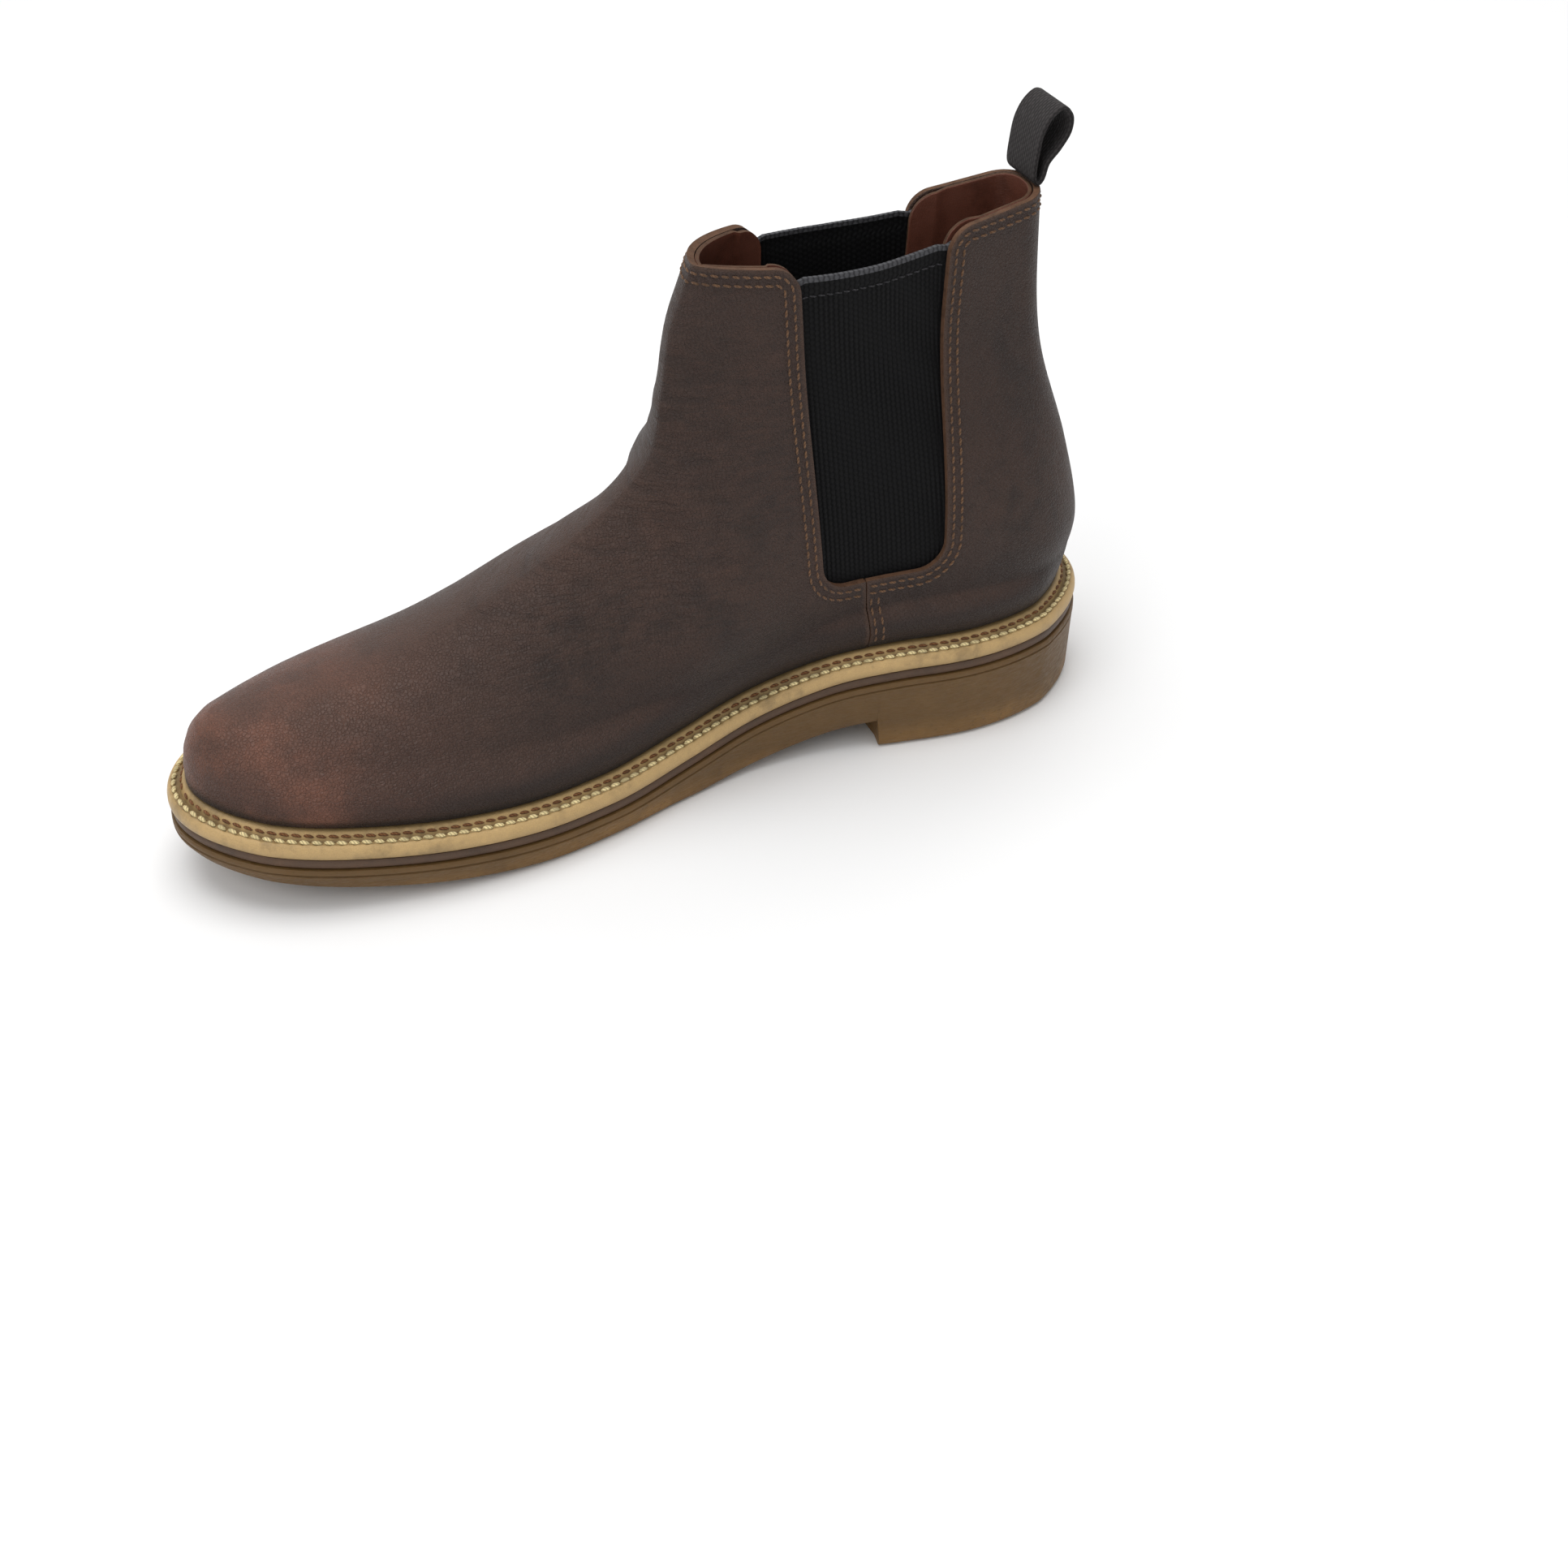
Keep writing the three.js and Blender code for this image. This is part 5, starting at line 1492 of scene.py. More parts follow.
def reinforced_depth(ids):
    """How deep the lining lies: deeper behind the toe puff and the heel counter."""
    depth = np.full(len(NET["place"]), UNDER_LEATHER)
    column = np.arange(MARKS["back"] + 1)[:, None]
    row = np.arange(MARKS["top"] + 1)[None, :]
    front = np.clip((6 / 13 - column / FRONT_COLUMNS) * 13, 0, 1) * np.clip((1 - row / LOW_ROWS) / 0.28, 0, 1)
    back_start = MARKS["lap_back"] + 1
    back = np.clip((column - back_start) / (BACK_COLUMNS / 6), 0, 1)
    back = back * np.clip(1 - (row - MARKS["foot"]) / (HIGH_ROWS * 0.16), 0, 1)
    deeper = (REINFORCEMENT + CLEARANCE) * np.maximum(front, back)
    over_front = np.clip((column - MARKS["lap_front"] + 3) / 2, 0, 1)
    over_back = np.clip((MARKS["lap_back"] + 3 - column) / 2, 0, 1)
    over_gore = np.minimum(over_front, over_back) * np.clip((row - MARKS["lap"] + 3) / 2, 0, 1)
    over_gore = over_gore * (LINING + 0.2)
    for side in SIDES:
        depth[NET["index"][side]] = UNDER_LEATHER + np.maximum(deeper, over_gore)
    return depth[ids]


def lining_cells(front):
    lower = ROW_CELLS < MARKS["foot"]
    if front:
        return (COLUMN_CELLS < MARKS["gore_front"]) | ((COLUMN_CELLS < MARKS["seam"]) & lower)
    return (COLUMN_CELLS >= MARKS["gore_back"]) | ((COLUMN_CELLS > MARKS["seam"]) & lower)


class BOOT_OT_linings(bpy.types.Operator):
    """Make the leather linings, with the seam across the back and its stitches"""

    bl_idname = "boot.linings"
    bl_label = "Linings"

    def execute(self, context):
        settings = context.scene.boot_leather
        bright = smooth_leather_material("Lining leather", tuple(settings.lining_colour), 0.46)
        # Below the seam height both linings take a darker leather: partly a second lining piece below the
        # back seam, partly painted shade deeper inside the boot, where the front lining has no seam.
        deep = smooth_leather_material("Lower lining leather", rgb(60, 40, 31), 0.55)
        edge = cut_edge_material("Lining edge", tuple(c * 0.8 for c in settings.edge_colour))
        seam_z = BACK_HEIGHT - LINING_SEAM_DROP

        def band(centres):
            return np.where(centres[:, 2] > seam_z, 0, 1)

        for name, front, node in (
            ("vamp_lining_leather", True, "vamp_lining"),
            ("quarter_lining_leather", False, "quarter_lining"),
        ):
            has = both(lining_cells(front))
            piece = sheet_piece(name, has, reinforced_depth, LINING, [bright, deep, edge], face_slot=band)
            finish_piece(piece, "boot", "lining_leather", node)
        thread = thread_material("Lining thread", rgb(150, 100, 70))
        low = MARKS["lap_back"] + 2
        for name, z in (("lining_seam_stitches", seam_z + 2.0), ("lining_seam_stitches_low", seam_z - 1.6)):
            path, out = [], []
            for side in SIDES:
                ids = NET["index"][side][low:]
                part, turn = [], []
                for line in ids:
                    heights = NET["place"][line, 2]
                    depth = UNDER_LEATHER + LINING + 0.05
                    sunk = NET["place"][line] - NET["normal"][line] * depth
                    part.append([np.interp(z, heights, sunk[:, k]) for k in range(3)])
                    turn.append([-np.interp(z, heights, NET["normal"][line, k]) for k in range(3)])
                path.append(np.array(part))
                out.append(np.array(turn))
            path = np.vstack([path[0], path[1][-2::-1]])
            out = unit(np.vstack([out[0], out[1][-2::-1]]))
            stitches = stitch_row(name, path, out, thread, 2.8, 0.6, 0.3)
            finish_piece(stitches, "boot", "lining_leather")
        return {"FINISHED"}


class BOOT_OT_label(bpy.types.Operator):
    """Make the plain woven label on the back lining"""

    bl_idname = "boot.label"
    bl_label = "Size label"

    def execute(self, context):
        satin = elastic_material("Label satin", rgb(36, 38, 62), 0.0005, 0.0004, 0.00008)
        index, place, normal = NET["index"], NET["place"], NET["normal"]
        half_width, low_z, high_z = 13.0, 98.0, 128.0
        lines, turns = [], []
        for z in np.linspace(low_z, high_z, 25):
            strip, out = [], []
            for side in SIDES:
                part, facing = [], []
                for line in index[side][MARKS["lap_back"] + 1 :][::-1]:
                    heights = place[line, 2]
                    part.append([np.interp(z, heights, place[line, k]) for k in range(3)])
                    facing.append([np.interp(z, heights, normal[line, k]) for k in range(3)])
                strip.append(np.array(part))
                out.append(np.array(facing))
            full = np.vstack([strip[1][::-1], strip[0][1:]])
            facing = unit(np.vstack([out[1][::-1], out[0][1:]]))
            full = full - facing * BACK_LAYER
            middle = arc_lengths(full)[len(strip[1]) - 1]
            wanted = np.linspace(middle - half_width, middle + half_width, 33)
            found = resample(np.hstack([full, facing]), wanted)
            lines.append(found[:, :3])
            turns.append(unit(found[:, 3:]))
        outer, facing = np.array(lines).transpose(1, 0, 2), np.array(turns).transpose(1, 0, 2)
        piece, width, length = patch_piece("woven_label", outer, facing, LABEL_THICKNESS, [satin], flip=False)
        finish_piece(piece, "boot", "label", "size_label")
        inner = outer - facing * (LABEL_THICKNESS + 0.02)
        thread = thread_material("Label thread", rgb(60, 62, 84))
        border = np.vstack([inner[1:-1, 1], inner[-2, 2:-1], inner[-3:0:-1, -2], inner[1, -3:0:-1]])
        turned = -np.vstack([facing[1:-1, 1], facing[-2, 2:-1], facing[-3:0:-1, -2], facing[1, -3:0:-1]])
        finish_piece(stitch_row("label_stitches", border, turned, thread, 2.2, 0.4, 0.2), "boot", "label")
        return {"FINISHED"}


def gore_row_path(front, inset):
    """Side view of a row of stitches round one panel: from the side seam, under the gore, up and over."""
    if front:
        foot, top, other = GORE_FRONT_FOOT, GORE_FRONT_TOP, GORE_BACK_FOOT
        start = SIDE_SEAM_SETBACK - 1.2
        end_y = FRONT_TOP_Y
    else:
        foot, top, other = GORE_BACK_FOOT, GORE_BACK_TOP, GORE_FRONT_FOOT
        start = np.linalg.norm(GORE_FRONT_FOOT - GORE_BACK_FOOT) - SIDE_SEAM_SETBACK - 1.5
        end_y = BACK_TOP_Y
    _, from_foot = corner_frame(foot, other, top)
    below = [(a, -inset) for a in np.linspace(start, FOOT_CORNER, 14)]
    turn = [
        (
            FOOT_CORNER - (FOOT_CORNER + inset) * math.sin(a),
            FOOT_CORNER - (FOOT_CORNER + inset) * math.cos(a),
        )
        for a in np.linspace(0, math.pi / 2, 14)[1:]
    ]
    height = np.linalg.norm(np.asarray(top) - foot)
    riser = [(-inset, b) for b in np.linspace(FOOT_CORNER, height - TOP_CORNER, 60)[1:]]
    low_part = from_foot(np.array(below + turn + riser))
    _, from_top = corner_frame(top, [end_y, float(topline(end_y))], foot)
    radius = TOP_CORNER - inset
    arc = [
        (TOP_CORNER - radius * math.cos(a), TOP_CORNER - radius * math.sin(a))
        for a in np.linspace(0, math.pi / 2, 12)
    ]
    arc = from_top(np.array(arc))
    bend = np.sin(np.linspace(0, math.pi / 2, 46))[1:]
    middle_z = float(topline(end_y)) - inset
    y = lerp(arc[-1, 0], float((front_y_at if front else back_y_at)(middle_z)), bend)
    z = topline(np.clip(y, FRONT_TOP_Y, BACK_TOP_Y)) - inset
    z = z + (arc[-1, 1] - z[0]) * (1 - smoothstep(bend, 0, 0.3))
    limit = front_y_at(z) + 0.02 if front else back_y_at(z) - 0.02
    y = np.maximum(y, limit) if front else np.minimum(y, limit)
    keep = np.concatenate([[True], np.abs(np.diff(y)) > 1e-6])
    return np.vstack([low_part, arc, np.column_stack([y, z])[keep]])


class BOOT_OT_stitching(bpy.types.Operator):
    """Sew the double rows round both panels and the short rows of the side seams"""

    bl_idname = "boot.stitching"
    bl_label = "Upper stitching"

    def execute(self, context):
        settings = context.scene.boot_stitches
        thread = thread_material("Upper thread", tuple(settings.upper_thread))
        pitch = settings.upper_stitch / MM
        for front, panel in ((True, "vamp"), (False, "quarter")):
            for inset, row in zip(ROW_INSETS, ("outer", "inner")):
                side_path = gore_row_path(front, inset)
                medial, medial_out = on_upper(MEDIAL, side_path)
                lateral, lateral_out = on_upper(LATERAL, side_path)
                path = np.vstack([medial, lateral[::-1]])
                out = np.vstack([medial_out, lateral_out[::-1]])
                stitches = stitch_row(f"{panel}_stitches_{row}", path, out, thread, pitch, 0.8, 0.4)
                finish_piece(stitches, "boot", "upper_thread", f"{panel}_thread_{row}")
        for side, name in ((MEDIAL, "medial"), (LATERAL, "lateral")):
            for k, back in enumerate((2.0, 4.4)):
                top = GORE_FRONT_FOOT + [SIDE_SEAM_SETBACK + back, -ROW_INSETS[1] - 1.5]
                foot = seat_point(FRONT_FOOT_Y + SIDE_SEAM_SETBACK + back) + [0, 2.5]
                t = np.linspace(0, 1, 24)[:, None]
                path, out = on_upper(side, top + (foot - top) * t)
                stitches = stitch_row(
                    f"side_seam_stitches_{name}_{k + 1}", path, out, thread, pitch, 0.75, 0.38
                )
                finish_piece(stitches, "boot", "upper_thread")
        return {"FINISHED"}


def sole_sections(turns, profile, bottom, top, across):
    """Sections across the sole: a rounded wall profile on both sides, joined below and above."""
    share = share_of(turns)
    low, high = bottom(share), top(share)
    walls = {}
    for side in SIDES:
        points = []
        for offset, from_low, part in profile:
            xy = edge_point(side, turns, offset)
            if part == 0:
                z = low + from_low
            elif part == 1:
                z = high + from_low
            else:
                z = lerp(low, high, part) + from_low
            points.append(np.column_stack([xy, z]))
        walls[side] = np.array(points)
    t = np.linspace(0, 1, across + 2)[1:-1, None, None]
    under = walls[LATERAL][0] + (walls[MEDIAL][0] - walls[LATERAL][0]) * t
    over = walls[MEDIAL][-1] + (walls[LATERAL][-1] - walls[MEDIAL][-1]) * t[::4]
    return np.concatenate([under, walls[MEDIAL], over, walls[LATERAL][::-1]]).transpose(1, 0, 2)


def wall_wear_and_shade(piece, margin):
    """Distance from each vertex to the lower edge of the wall, for its wear and for the painted shade higher
    up.
    """
    places = np.array([v.co for v in piece.data.vertices]) / MM
    low = np.abs(places[:, 2] - places[:, 2].min())
    add_attribute(piece, "cut_edge", np.minimum(low, margin))


class BOOT_OT_outsole(bpy.types.Operator):
    """Make the gum outsole with its heel, rounded edges and shallow bars of tread"""

    bl_idname = "boot.outsole"
    bl_label = "Outsole"

    def execute(self, context):
        settings = context.scene.boot_sole
        gum = gum_material(tuple(settings.gum_colour))
        breast = math.acos(1 - 2 * BREAST_SHARE)
        turns = np.concatenate([
            np.linspace(0.02, 0.4, 40),
            np.linspace(0.4, breast - 0.002, 170)[1:],
            np.linspace(breast + 0.002, math.pi - 0.4, 60),
            np.linspace(math.pi - 0.4, math.pi - 0.02, 40)[1:],
        ])
        foot = WELT_REACH - SOLE_TAPER
        profile = [
            (foot - 7.0, 0.0, 0), (foot - 2.2, 0.0, 0), (foot - 0.9, 0.25, 0), (foot - 0.25, 0.9, 0),
            (foot, 2.0, 0), (foot + 0.45, 0, 0.45), (WELT_REACH - 0.2, -3.4, 1), (WELT_REACH - 0.05, -2.6, 1),
            (WELT_REACH - 0.55, -2.2, 1), (WELT_REACH - 0.05, -1.8, 1), (WELT_REACH - 0.05, -0.7, 1),
            (WELT_REACH - 0.4, -0.15, 1), (WELT_REACH - 1.4, 0.0, 1),
        ]

        def top(share):
            return welt_underside(share) - 2 * LAYER_GAP - MIDSOLE_THICKNESS

        across = 56
        sections = sole_sections(turns, profile, sole_underside, top, across)
        under = sections[:, :across]
        y = under[..., 1]
        middle = sections[:, across // 2, 0][:, None]
        wave = np.sin((y + TREAD_WAVE * np.cos((under[..., 0] - middle) / 7)) / TREAD_PITCH * 2 * math.pi)
        share = share_at(y)
        margin = np.minimum(np.arange(across), np.arange(across)[::-1])[None, :] / 3.0
        front = smoothstep(share, 0.05, 0.08) * (1 - smoothstep(share, 0.5, 0.54))
        heel = smoothstep(share, BREAST_SHARE + 0.03, BREAST_SHARE + 0.05)
        heel = heel * (1 - smoothstep(share, 0.93, 0.96))
        bars = smoothstep(wave, 0.1, 0.5) * np.clip(margin - 0.3, 0, 1) * np.maximum(front, heel)
        under[..., 2] += settings.tread_depth / MM * bars
        piece = closed_loft("gum_outsole", sections, False, [gum], 35, across, len(profile))
        wall_wear_and_shade(piece, 10)
        finish_piece(piece, "boot", "gum_rubber", "outsole")
        return {"FINISHED"}


class BOOT_OT_midsole(bpy.types.Operator):
    """Make the midsole layer with its dressed edge"""

    bl_idname = "boot.midsole"
    bl_label = "Midsole"

    def execute(self, context):
        settings = context.scene.boot_sole
        edge = smooth_leather_material("Midsole leather", tuple(settings.midsole_colour), 0.5, 1800.0, 0.25)
        reach = WELT_REACH - 0.7
        profile = [
            (reach - 1.2, 0, 0), (reach - 0.25, 0.1, 0), (reach, 0.5, 0), (reach + 0.1, 0, 0.5),
            (reach, -0.5, 1), (reach - 0.25, -0.1, 1), (reach - 1.2, 0, 1),
        ]

        def top(share):
            return welt_underside(share) - LAYER_GAP

        def bottom(share):
            return top(share) - MIDSOLE_THICKNESS

        turns = np.concatenate([
            np.linspace(0.02, 0.4, 30), np.linspace(0.4, math.pi - 0.4, 130)[1:],
            np.linspace(math.pi - 0.4, math.pi - 0.02, 30)[1:],
        ])
        sections = sole_sections(turns, profile, bottom, top, 12)
        piece = closed_loft("midsole_layer", sections, False, [edge], 35, 12, len(profile))
        add_attribute(piece, "cut_edge", np.full(len(piece.data.vertices), 4.0))
        finish_piece(piece, "boot", "midsole_leather", "midsole")
        return {"FINISHED"}


class BOOT_OT_welt(bpy.types.Operator):
    """Make the welt with its pricked ridge and groove, and sew its two rows"""

    bl_idname = "boot.welt"
    bl_label = "Welt and its stitches"

    def execute(self, context):
        sole, stitches = context.scene.boot_sole, context.scene.boot_stitches
        leather = welt_material(tuple(sole.welt_colour))
        ridge_thread = thread_material("Welt thread", tuple(stitches.welt_thread))
        groove_thread = thread_material("Groove thread", rgb(128, 84, 48))
        points, out, share, length = rim_line(1500)
        base = welt_underside(share)
        pitch = length / round(length / (stitches.welt_stitch / MM))
        run = np.arange(len(points)) * length / len(points)
        prick = np.abs(np.cos(run / pitch * math.pi)) ** 6  # deep where one stitch meets the next
        # Section rows: offset out from the feather line, height, share of the prick dent, and the painted
        # shade that the welt's colour takes there.
        section = [
            (-WELT_TUCK, 0.0, 0.0, 0.7), (5.0, 0.0, 0.0, 0.7), (5.55, 0.12, 0.0, 0.65),
            (5.9, 0.6, 0.0, 0.52), (6.05, 1.5, 0.0, 0.38), (6.0, 2.5, 0.0, 0.24), (5.8, 3.4, 0.0, 0.1),
            (5.4, 4.2, 0.05, 0.0), (4.95, 4.7, 0.15, 0.0), (4.55, 4.75, 0.35, 0.5),
            (4.2, 4.72, 0.5, 0.75), (3.75, 4.85, 0.6, 0.45), (3.3, 4.72, 0.5, 0.75), (2.95, 4.5, 0.3, 1.0),
            (2.6, 4.25, 0.1, 1.0), (2.2, 4.2, 0.1, 0.9), (1.85, 4.6, 0.2, 0.5), (1.55, 5.3, 0.1, 0.1),
            (1.2, 5.95, 0.0, 0.24), (0.75, 6.4, 0.0, 0.34), (0.3, 6.65, 0.0, 0.6),
            (-0.3, WELT_HEIGHT, 0.0, 1.0), (-WELT_TUCK, WELT_HEIGHT, 0.0, 1.0),
        ]
        ring = []
        for offset, height, pricked, _ in section:
            z = base + height - PRICK_DEPTH * pricked * prick
            ring.append(np.column_stack([points + out * offset, z]))
        sections = np.array(ring).transpose(1, 0, 2)
        piece = closed_loft("welt_strip", sections, True, [leather], 50)
        # groove: the painted shade of each section point, for the welt's colour.
        add_attribute(piece, "groove", np.tile([s[3] for s in section], len(points)))
        add_attribute(piece, "cut_edge", np.full(len(piece.data.vertices), 4.0))
        finish_piece(piece, "boot", "welt", "welt")
        for name, offset, height, thread, width, tall, phase in (
            ("welt_ridge_stitches", 3.75, 4.98, ridge_thread, 1.35, 0.66, 0.0),
            ("welt_groove_stitches", 1.45, 5.6, groove_thread, 1.0, 0.5, 0.5),
        ):
            path = np.column_stack([points + out * offset, base + height])
            path = np.vstack([path, path[:1]])
            up = np.tile([0.0, 0.0, 1.0], (len(path), 1))
            shifted = arc_lengths(path)[-1] * phase / round(length / pitch)
            path = resample(path, np.linspace(shifted, arc_lengths(path)[-1], len(path)))
            row = stitch_row(name, path, up, thread, pitch, width, tall, 0.22, 0.86)
            finish_piece(row, "boot", "welt_thread", *(["welt_thread"] if phase == 0 else []))
        return {"FINISHED"}


class BOOT_OT_footbed(bpy.types.Operator):
    """Make the leather footbed, rounded at its rim and hollowed under the heel"""

    bl_idname = "boot.footbed"
    bl_label = "Footbed"

    def execute(self, context):
        colour = tuple(context.scene.boot_sole.footbed_colour)
        leather = smooth_leather_material("Footbed leather", colour, 0.52, 1300.0, 0.45)
        rim = -(UNDER_LEATHER + LINING + REINFORCEMENT + CLEARANCE + FOOTBED_PLAY)
        profile = [
            (rim - 1.0, 0.0, 0), (rim - 0.3, 0.15, 0), (rim + 0.1, 1.0, 0), (rim, -1.6, 1),
            (rim - 0.6, -0.6, 1), (rim - 1.6, -0.1, 1), (rim - 4.0, 0.0, 1),
        ]

        def bottom(share):
            return seat_height(share) + INSOLE_THICKNESS + CLEARANCE

        def top(share):
            return bottom(share) + FOOTBED_THICKNESS

        turns = np.linspace(0.05, math.pi - 0.05, 150)
        across, count = 40, len(profile)
        sections = sole_sections(turns, profile, bottom, top, across)
        over = sections[:, across + count : -count]
        share = share_at(over[..., 1])
        place = np.linspace(-1, 1, over.shape[1])[None, :]
        dish = (1 - place**2) * (0.9 * smoothstep(share, 0.72, 0.86) + 0.35)
        over[..., 2] -= dish
        piece = closed_loft("footbed_leather", sections, False, [leather], 35, across, count)
        add_attribute(piece, "cut_edge", np.full(len(piece.data.vertices), 4.0))
        finish_piece(piece, "boot", "footbed_leather", "footbed")
        return {"FINISHED"}


def loop_line():
    """Middle line of the pull loop's webbing in side view, from its foot round and back."""
    foot = 0.5 + LOOP_THICKNESS / 2
    line = [
        (-foot, 0), (-0.7, 0.4), (0.6, 0.68), (3.4, 0.9), (6.9, 1), (9.6, 0.88), (9.5, 0.66), (6.4, 0.42),
        (2.8, 0.22), (foot, 0), (0, -foot / LOOP_HEIGHT),
    ]
    path = smooth_path([(y, share * LOOP_HEIGHT) for y, share in line], closed=True)
    run = arc_lengths(np.vstack([path, path[:1]]))
    return resample(np.vstack([path, path[:1]]), np.linspace(0, run[-1], 140, endpoint=False)), run[-1]


class BOOT_OT_loop(bpy.types.Operator):
    """Make the folded webbing of the pull loop, with ribs and woven edges"""

    bl_idname = "boot.loop"
    bl_label = "Pull loop"

    def execute(self, context):
        settings = context.scene.boot_elastic
        webbing = elastic_material("Loop webbing", tuple(settings.loop_colour), 0.0011, 0.0009, 0.0003)
        line, length = loop_line()
        tangent = unit(np.roll(line, -1, 0) - np.roll(line, 1, 0))
        out = np.column_stack([-tangent[:, 1], tangent[:, 0]])
        turn_radius = 0.5 + LOOP_THICKNESS
        origin = np.array([
            float(middle_x(1)) - 1,
            float(back_y_at(BACK_HEIGHT)) - (LEATHER + LINING + CLEARANCE) / 2,
            BACK_HEIGHT + CLEARANCE + turn_radius - LOOP_SINK,
        ])
        half, lay = LOOP_WIDTH / 2, LOOP_THICKNESS / 2
        across = np.linspace(-1, 1, 45)
        edge = np.clip((1 - np.abs(across)) * half / LOOP_EDGE_ROUND, 0, 1)
        body = lay * np.sqrt(1 - (1 - edge) ** 2) * (1 - 0.1 * (1 - edge))
        ribs = LOOP_RIB_HEIGHT * np.cos(across * half / LOOP_RIB_PITCH * 2 * math.pi) * edge
        ring_x = np.concatenate([across, across[::-1]]) * half
        surface = body + ribs - LOOP_RIB_HEIGHT
        ring_w = np.concatenate([surface, -surface[::-1]])
        sections = np.zeros((len(line), len(ring_x), 3))
        sections[..., 0] = origin[0] + ring_x
        sections[..., 1] = origin[1] + line[:, None, 0] + out[:, None, 0] * ring_w
        sections[..., 2] = origin[2] + line[:, None, 1] + out[:, None, 1] * ring_w
        piece = closed_loft("pull_loop_webbing", sections, True, [webbing], 60)
        run = arc_lengths(np.vstack([line, line[:1]]))[:-1]
        uv = np.stack(np.broadcast_arrays(ring_x[None, :], run[:, None]), axis=-1).reshape(-1, 2) * MM
        add_uv(piece, "Cloth", uv)
        finish_piece(piece, "loop", "webbing", "pull_loop")
        return {"FINISHED"}


class BOOT_OT_inner(bpy.types.Operator):
    """Give the hidden layers their materials: cork, shank, board, toe puff and heel counter"""

    bl_idname = "boot.inner"
    bl_label = "Hidden layers"

    def execute(self, context):
        finishes = {
            "cork_filler": cork_material(),
            "shank": steel_material(),
            "insole_board": fibre_material("Fibre board", rgb(120, 94, 66)),
            "toe_puff": fibre_material("Toe puff", rgb(214, 206, 190)),
            "heel_counter": fibre_material("Heel counter", rgb(204, 186, 150)),
        }
        for node, material in finishes.items():
            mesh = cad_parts[node].data
            mesh.materials.clear()
            mesh.materials.append(material)
        return {"FINISHED"}


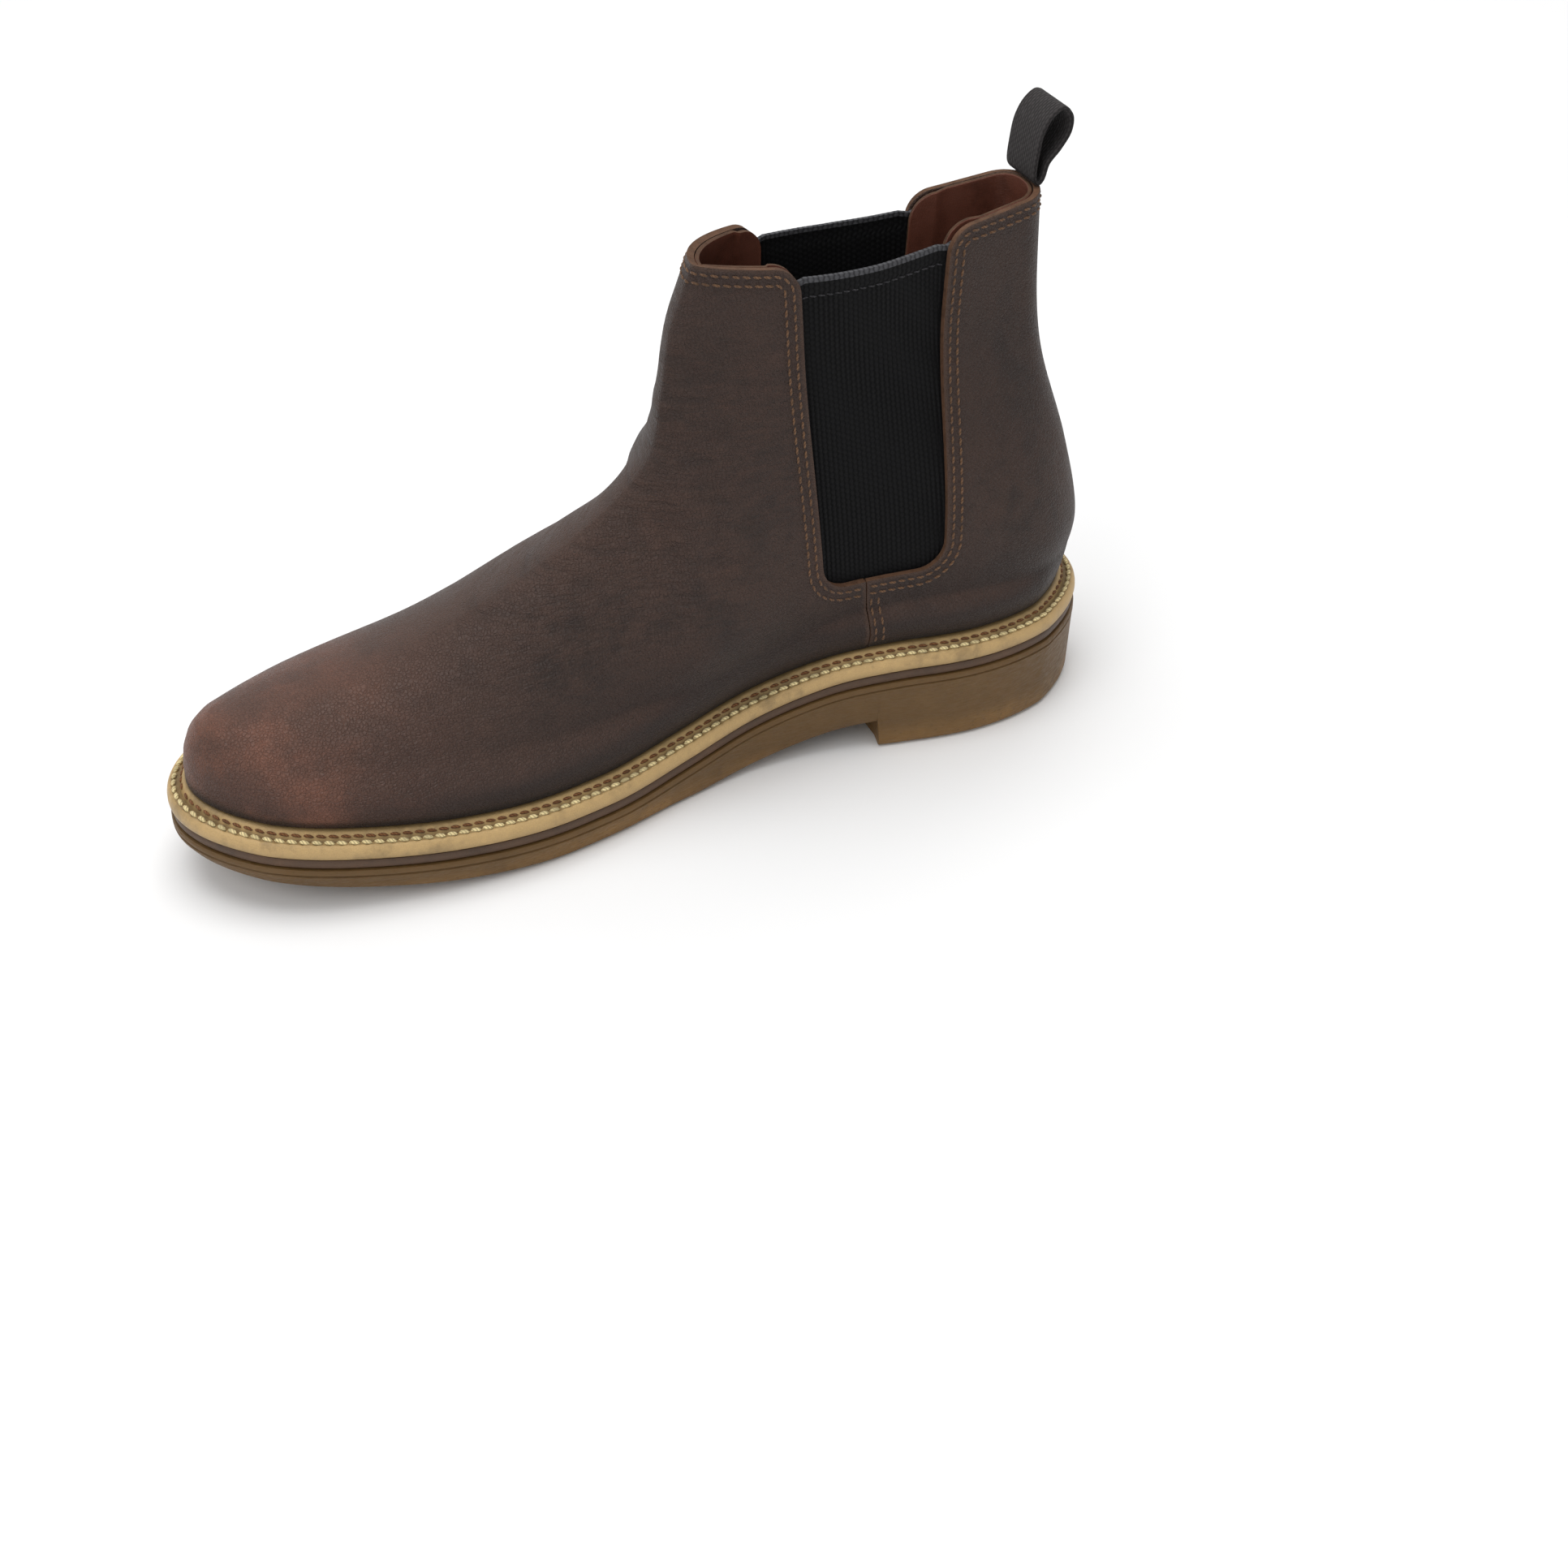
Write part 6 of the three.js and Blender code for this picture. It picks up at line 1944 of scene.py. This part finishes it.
class BOOT_OT_stage(bpy.types.Operator):
    """Set the camera, the pale floor and the soft studio light"""

    bl_idname = "boot.stage"
    bl_label = "Stage"

    def execute(self, context):
        scene, settings = context.scene, context.scene.boot_stage
        aim = Vector((0.034, 0.0505, 0.0))
        azimuth, elevation, distance = math.radians(66.7), math.radians(36.2), 0.722
        back = Vector((
            math.sin(azimuth) * math.cos(elevation),
            -math.cos(azimuth) * math.cos(elevation),
            math.sin(elevation),
        ))
        data = bpy.data.cameras.new("Camera")
        data.lens, data.sensor_width = 51.8, 36.0
        data.shift_x, data.shift_y = -0.028, -0.021
        data.clip_start, data.clip_end = 0.02, 50.0
        camera = bpy.data.objects.new("Camera", data)
        camera.location = aim + back * distance
        camera.rotation_euler = (-back).to_track_quat("-Z", "Y").to_euler()
        scene.collection.objects.link(camera)
        scene.camera = camera

        floor_material, tree, shader, place = new_material("Floor", Specular_IOR_Level=0.1)
        tint = tuple(settings.floor_colour)
        mottle = noise_node(tree, place, 3.0, 2.0)
        shade = mix_colour(tree, map_range(tree, mottle, 0.3, 0.7, 0.0, 0.02), tint, (0.86, 0.86, 0.86, 1))
        tree.links.new(shade, shader.inputs["Base Color"])
        shader.inputs["Roughness"].default_value = 0.9
        mesh = bpy.data.meshes.new("floor")
        reach = 6.0
        corners = [(-reach, -reach, 0), (reach, -reach, 0), (reach, reach, 0), (-reach, reach, 0)]
        mesh.from_pydata([(x, y, -0.0004) for x, y, _ in corners], [], [(0, 1, 2, 3)])
        mesh.materials.append(floor_material)
        floor = bpy.data.objects.new("floor", mesh)
        scene.collection.objects.link(floor)

        world = bpy.data.worlds.new("Studio")
        scene.world = world
        world.use_nodes = True
        sky = world.node_tree.nodes["Background"]
        sky.inputs["Color"].default_value = (1.0, 1.0, 1.0, 1.0)
        sky.inputs["Strength"].default_value = 0.6
        for name, spot, size, share in (
            ("Key light", (-0.1, -0.15, 1.75), 1.5, 1.0),
            ("Fill light", (0.8, -1.1, 1.2), 1.2, 0.36),
            ("Back light", (-1.1, 0.9, 1.2), 1.2, 0.22),
        ):
            lamp_data = bpy.data.lights.new(name, "AREA")
            lamp_data.shape, lamp_data.size = "DISK", size
            lamp_data.energy = settings.light_power * share
            lamp = bpy.data.objects.new(name, lamp_data)
            lamp.location = spot
            direction = Vector((0.0, 0.0, 0.06)) - Vector(spot)
            lamp.rotation_euler = direction.to_track_quat("-Z", "Y").to_euler()
            scene.collection.objects.link(lamp)
        scene.view_settings.view_transform = "Standard"
        return {"FINISHED"}


# ------------------------------------------------------------------ the add-on

STEPS = (
    BOOT_OT_stage,
    BOOT_OT_upper,
    BOOT_OT_linings,
    BOOT_OT_gores,
    BOOT_OT_label,
    BOOT_OT_stitching,
    BOOT_OT_outsole,
    BOOT_OT_midsole,
    BOOT_OT_welt,
    BOOT_OT_footbed,
    BOOT_OT_loop,
    BOOT_OT_inner,
)
SETTINGS = {
    "boot_leather": BootLeatherSettings,
    "boot_elastic": BootElasticSettings,
    "boot_stitches": BootStitchSettings,
    "boot_sole": BootSoleSettings,
    "boot_stage": BootStageSettings,
}


class BOOT_PT_panel(bpy.types.Panel):
    """Lists the boot's sizes, colours and pieces"""

    bl_idname = "BOOT_PT_panel"
    bl_label = "Chelsea boot"
    bl_space_type = "VIEW_3D"
    bl_region_type = "UI"
    bl_category = "Boot"

    def draw(self, context):
        for name, kind in SETTINGS.items():
            box = self.layout.box()
            for field in kind.__annotations__:
                box.prop(getattr(context.scene, name), field)
        for step in STEPS:
            self.layout.operator(step.bl_idname)


def register():
    for kind in (*SETTINGS.values(), *STEPS, BOOT_PT_panel):
        bpy.utils.register_class(kind)
    for name, kind in SETTINGS.items():
        setattr(bpy.types.Scene, name, PointerProperty(type=kind))


def unregister():
    for name in SETTINGS:
        delattr(bpy.types.Scene, name)
    for kind in (BOOT_PT_panel, *reversed(STEPS), *SETTINGS.values()):
        bpy.utils.unregister_class(kind)


def main():
    register()
    for step in STEPS:
        group, operator = step.bl_idname.split(".")
        if getattr(getattr(bpy.ops, group), operator)() != {"FINISHED"}:
            raise RuntimeError(f"{step.bl_label} wasn't finished")


if __name__ == "__main__":
    main()
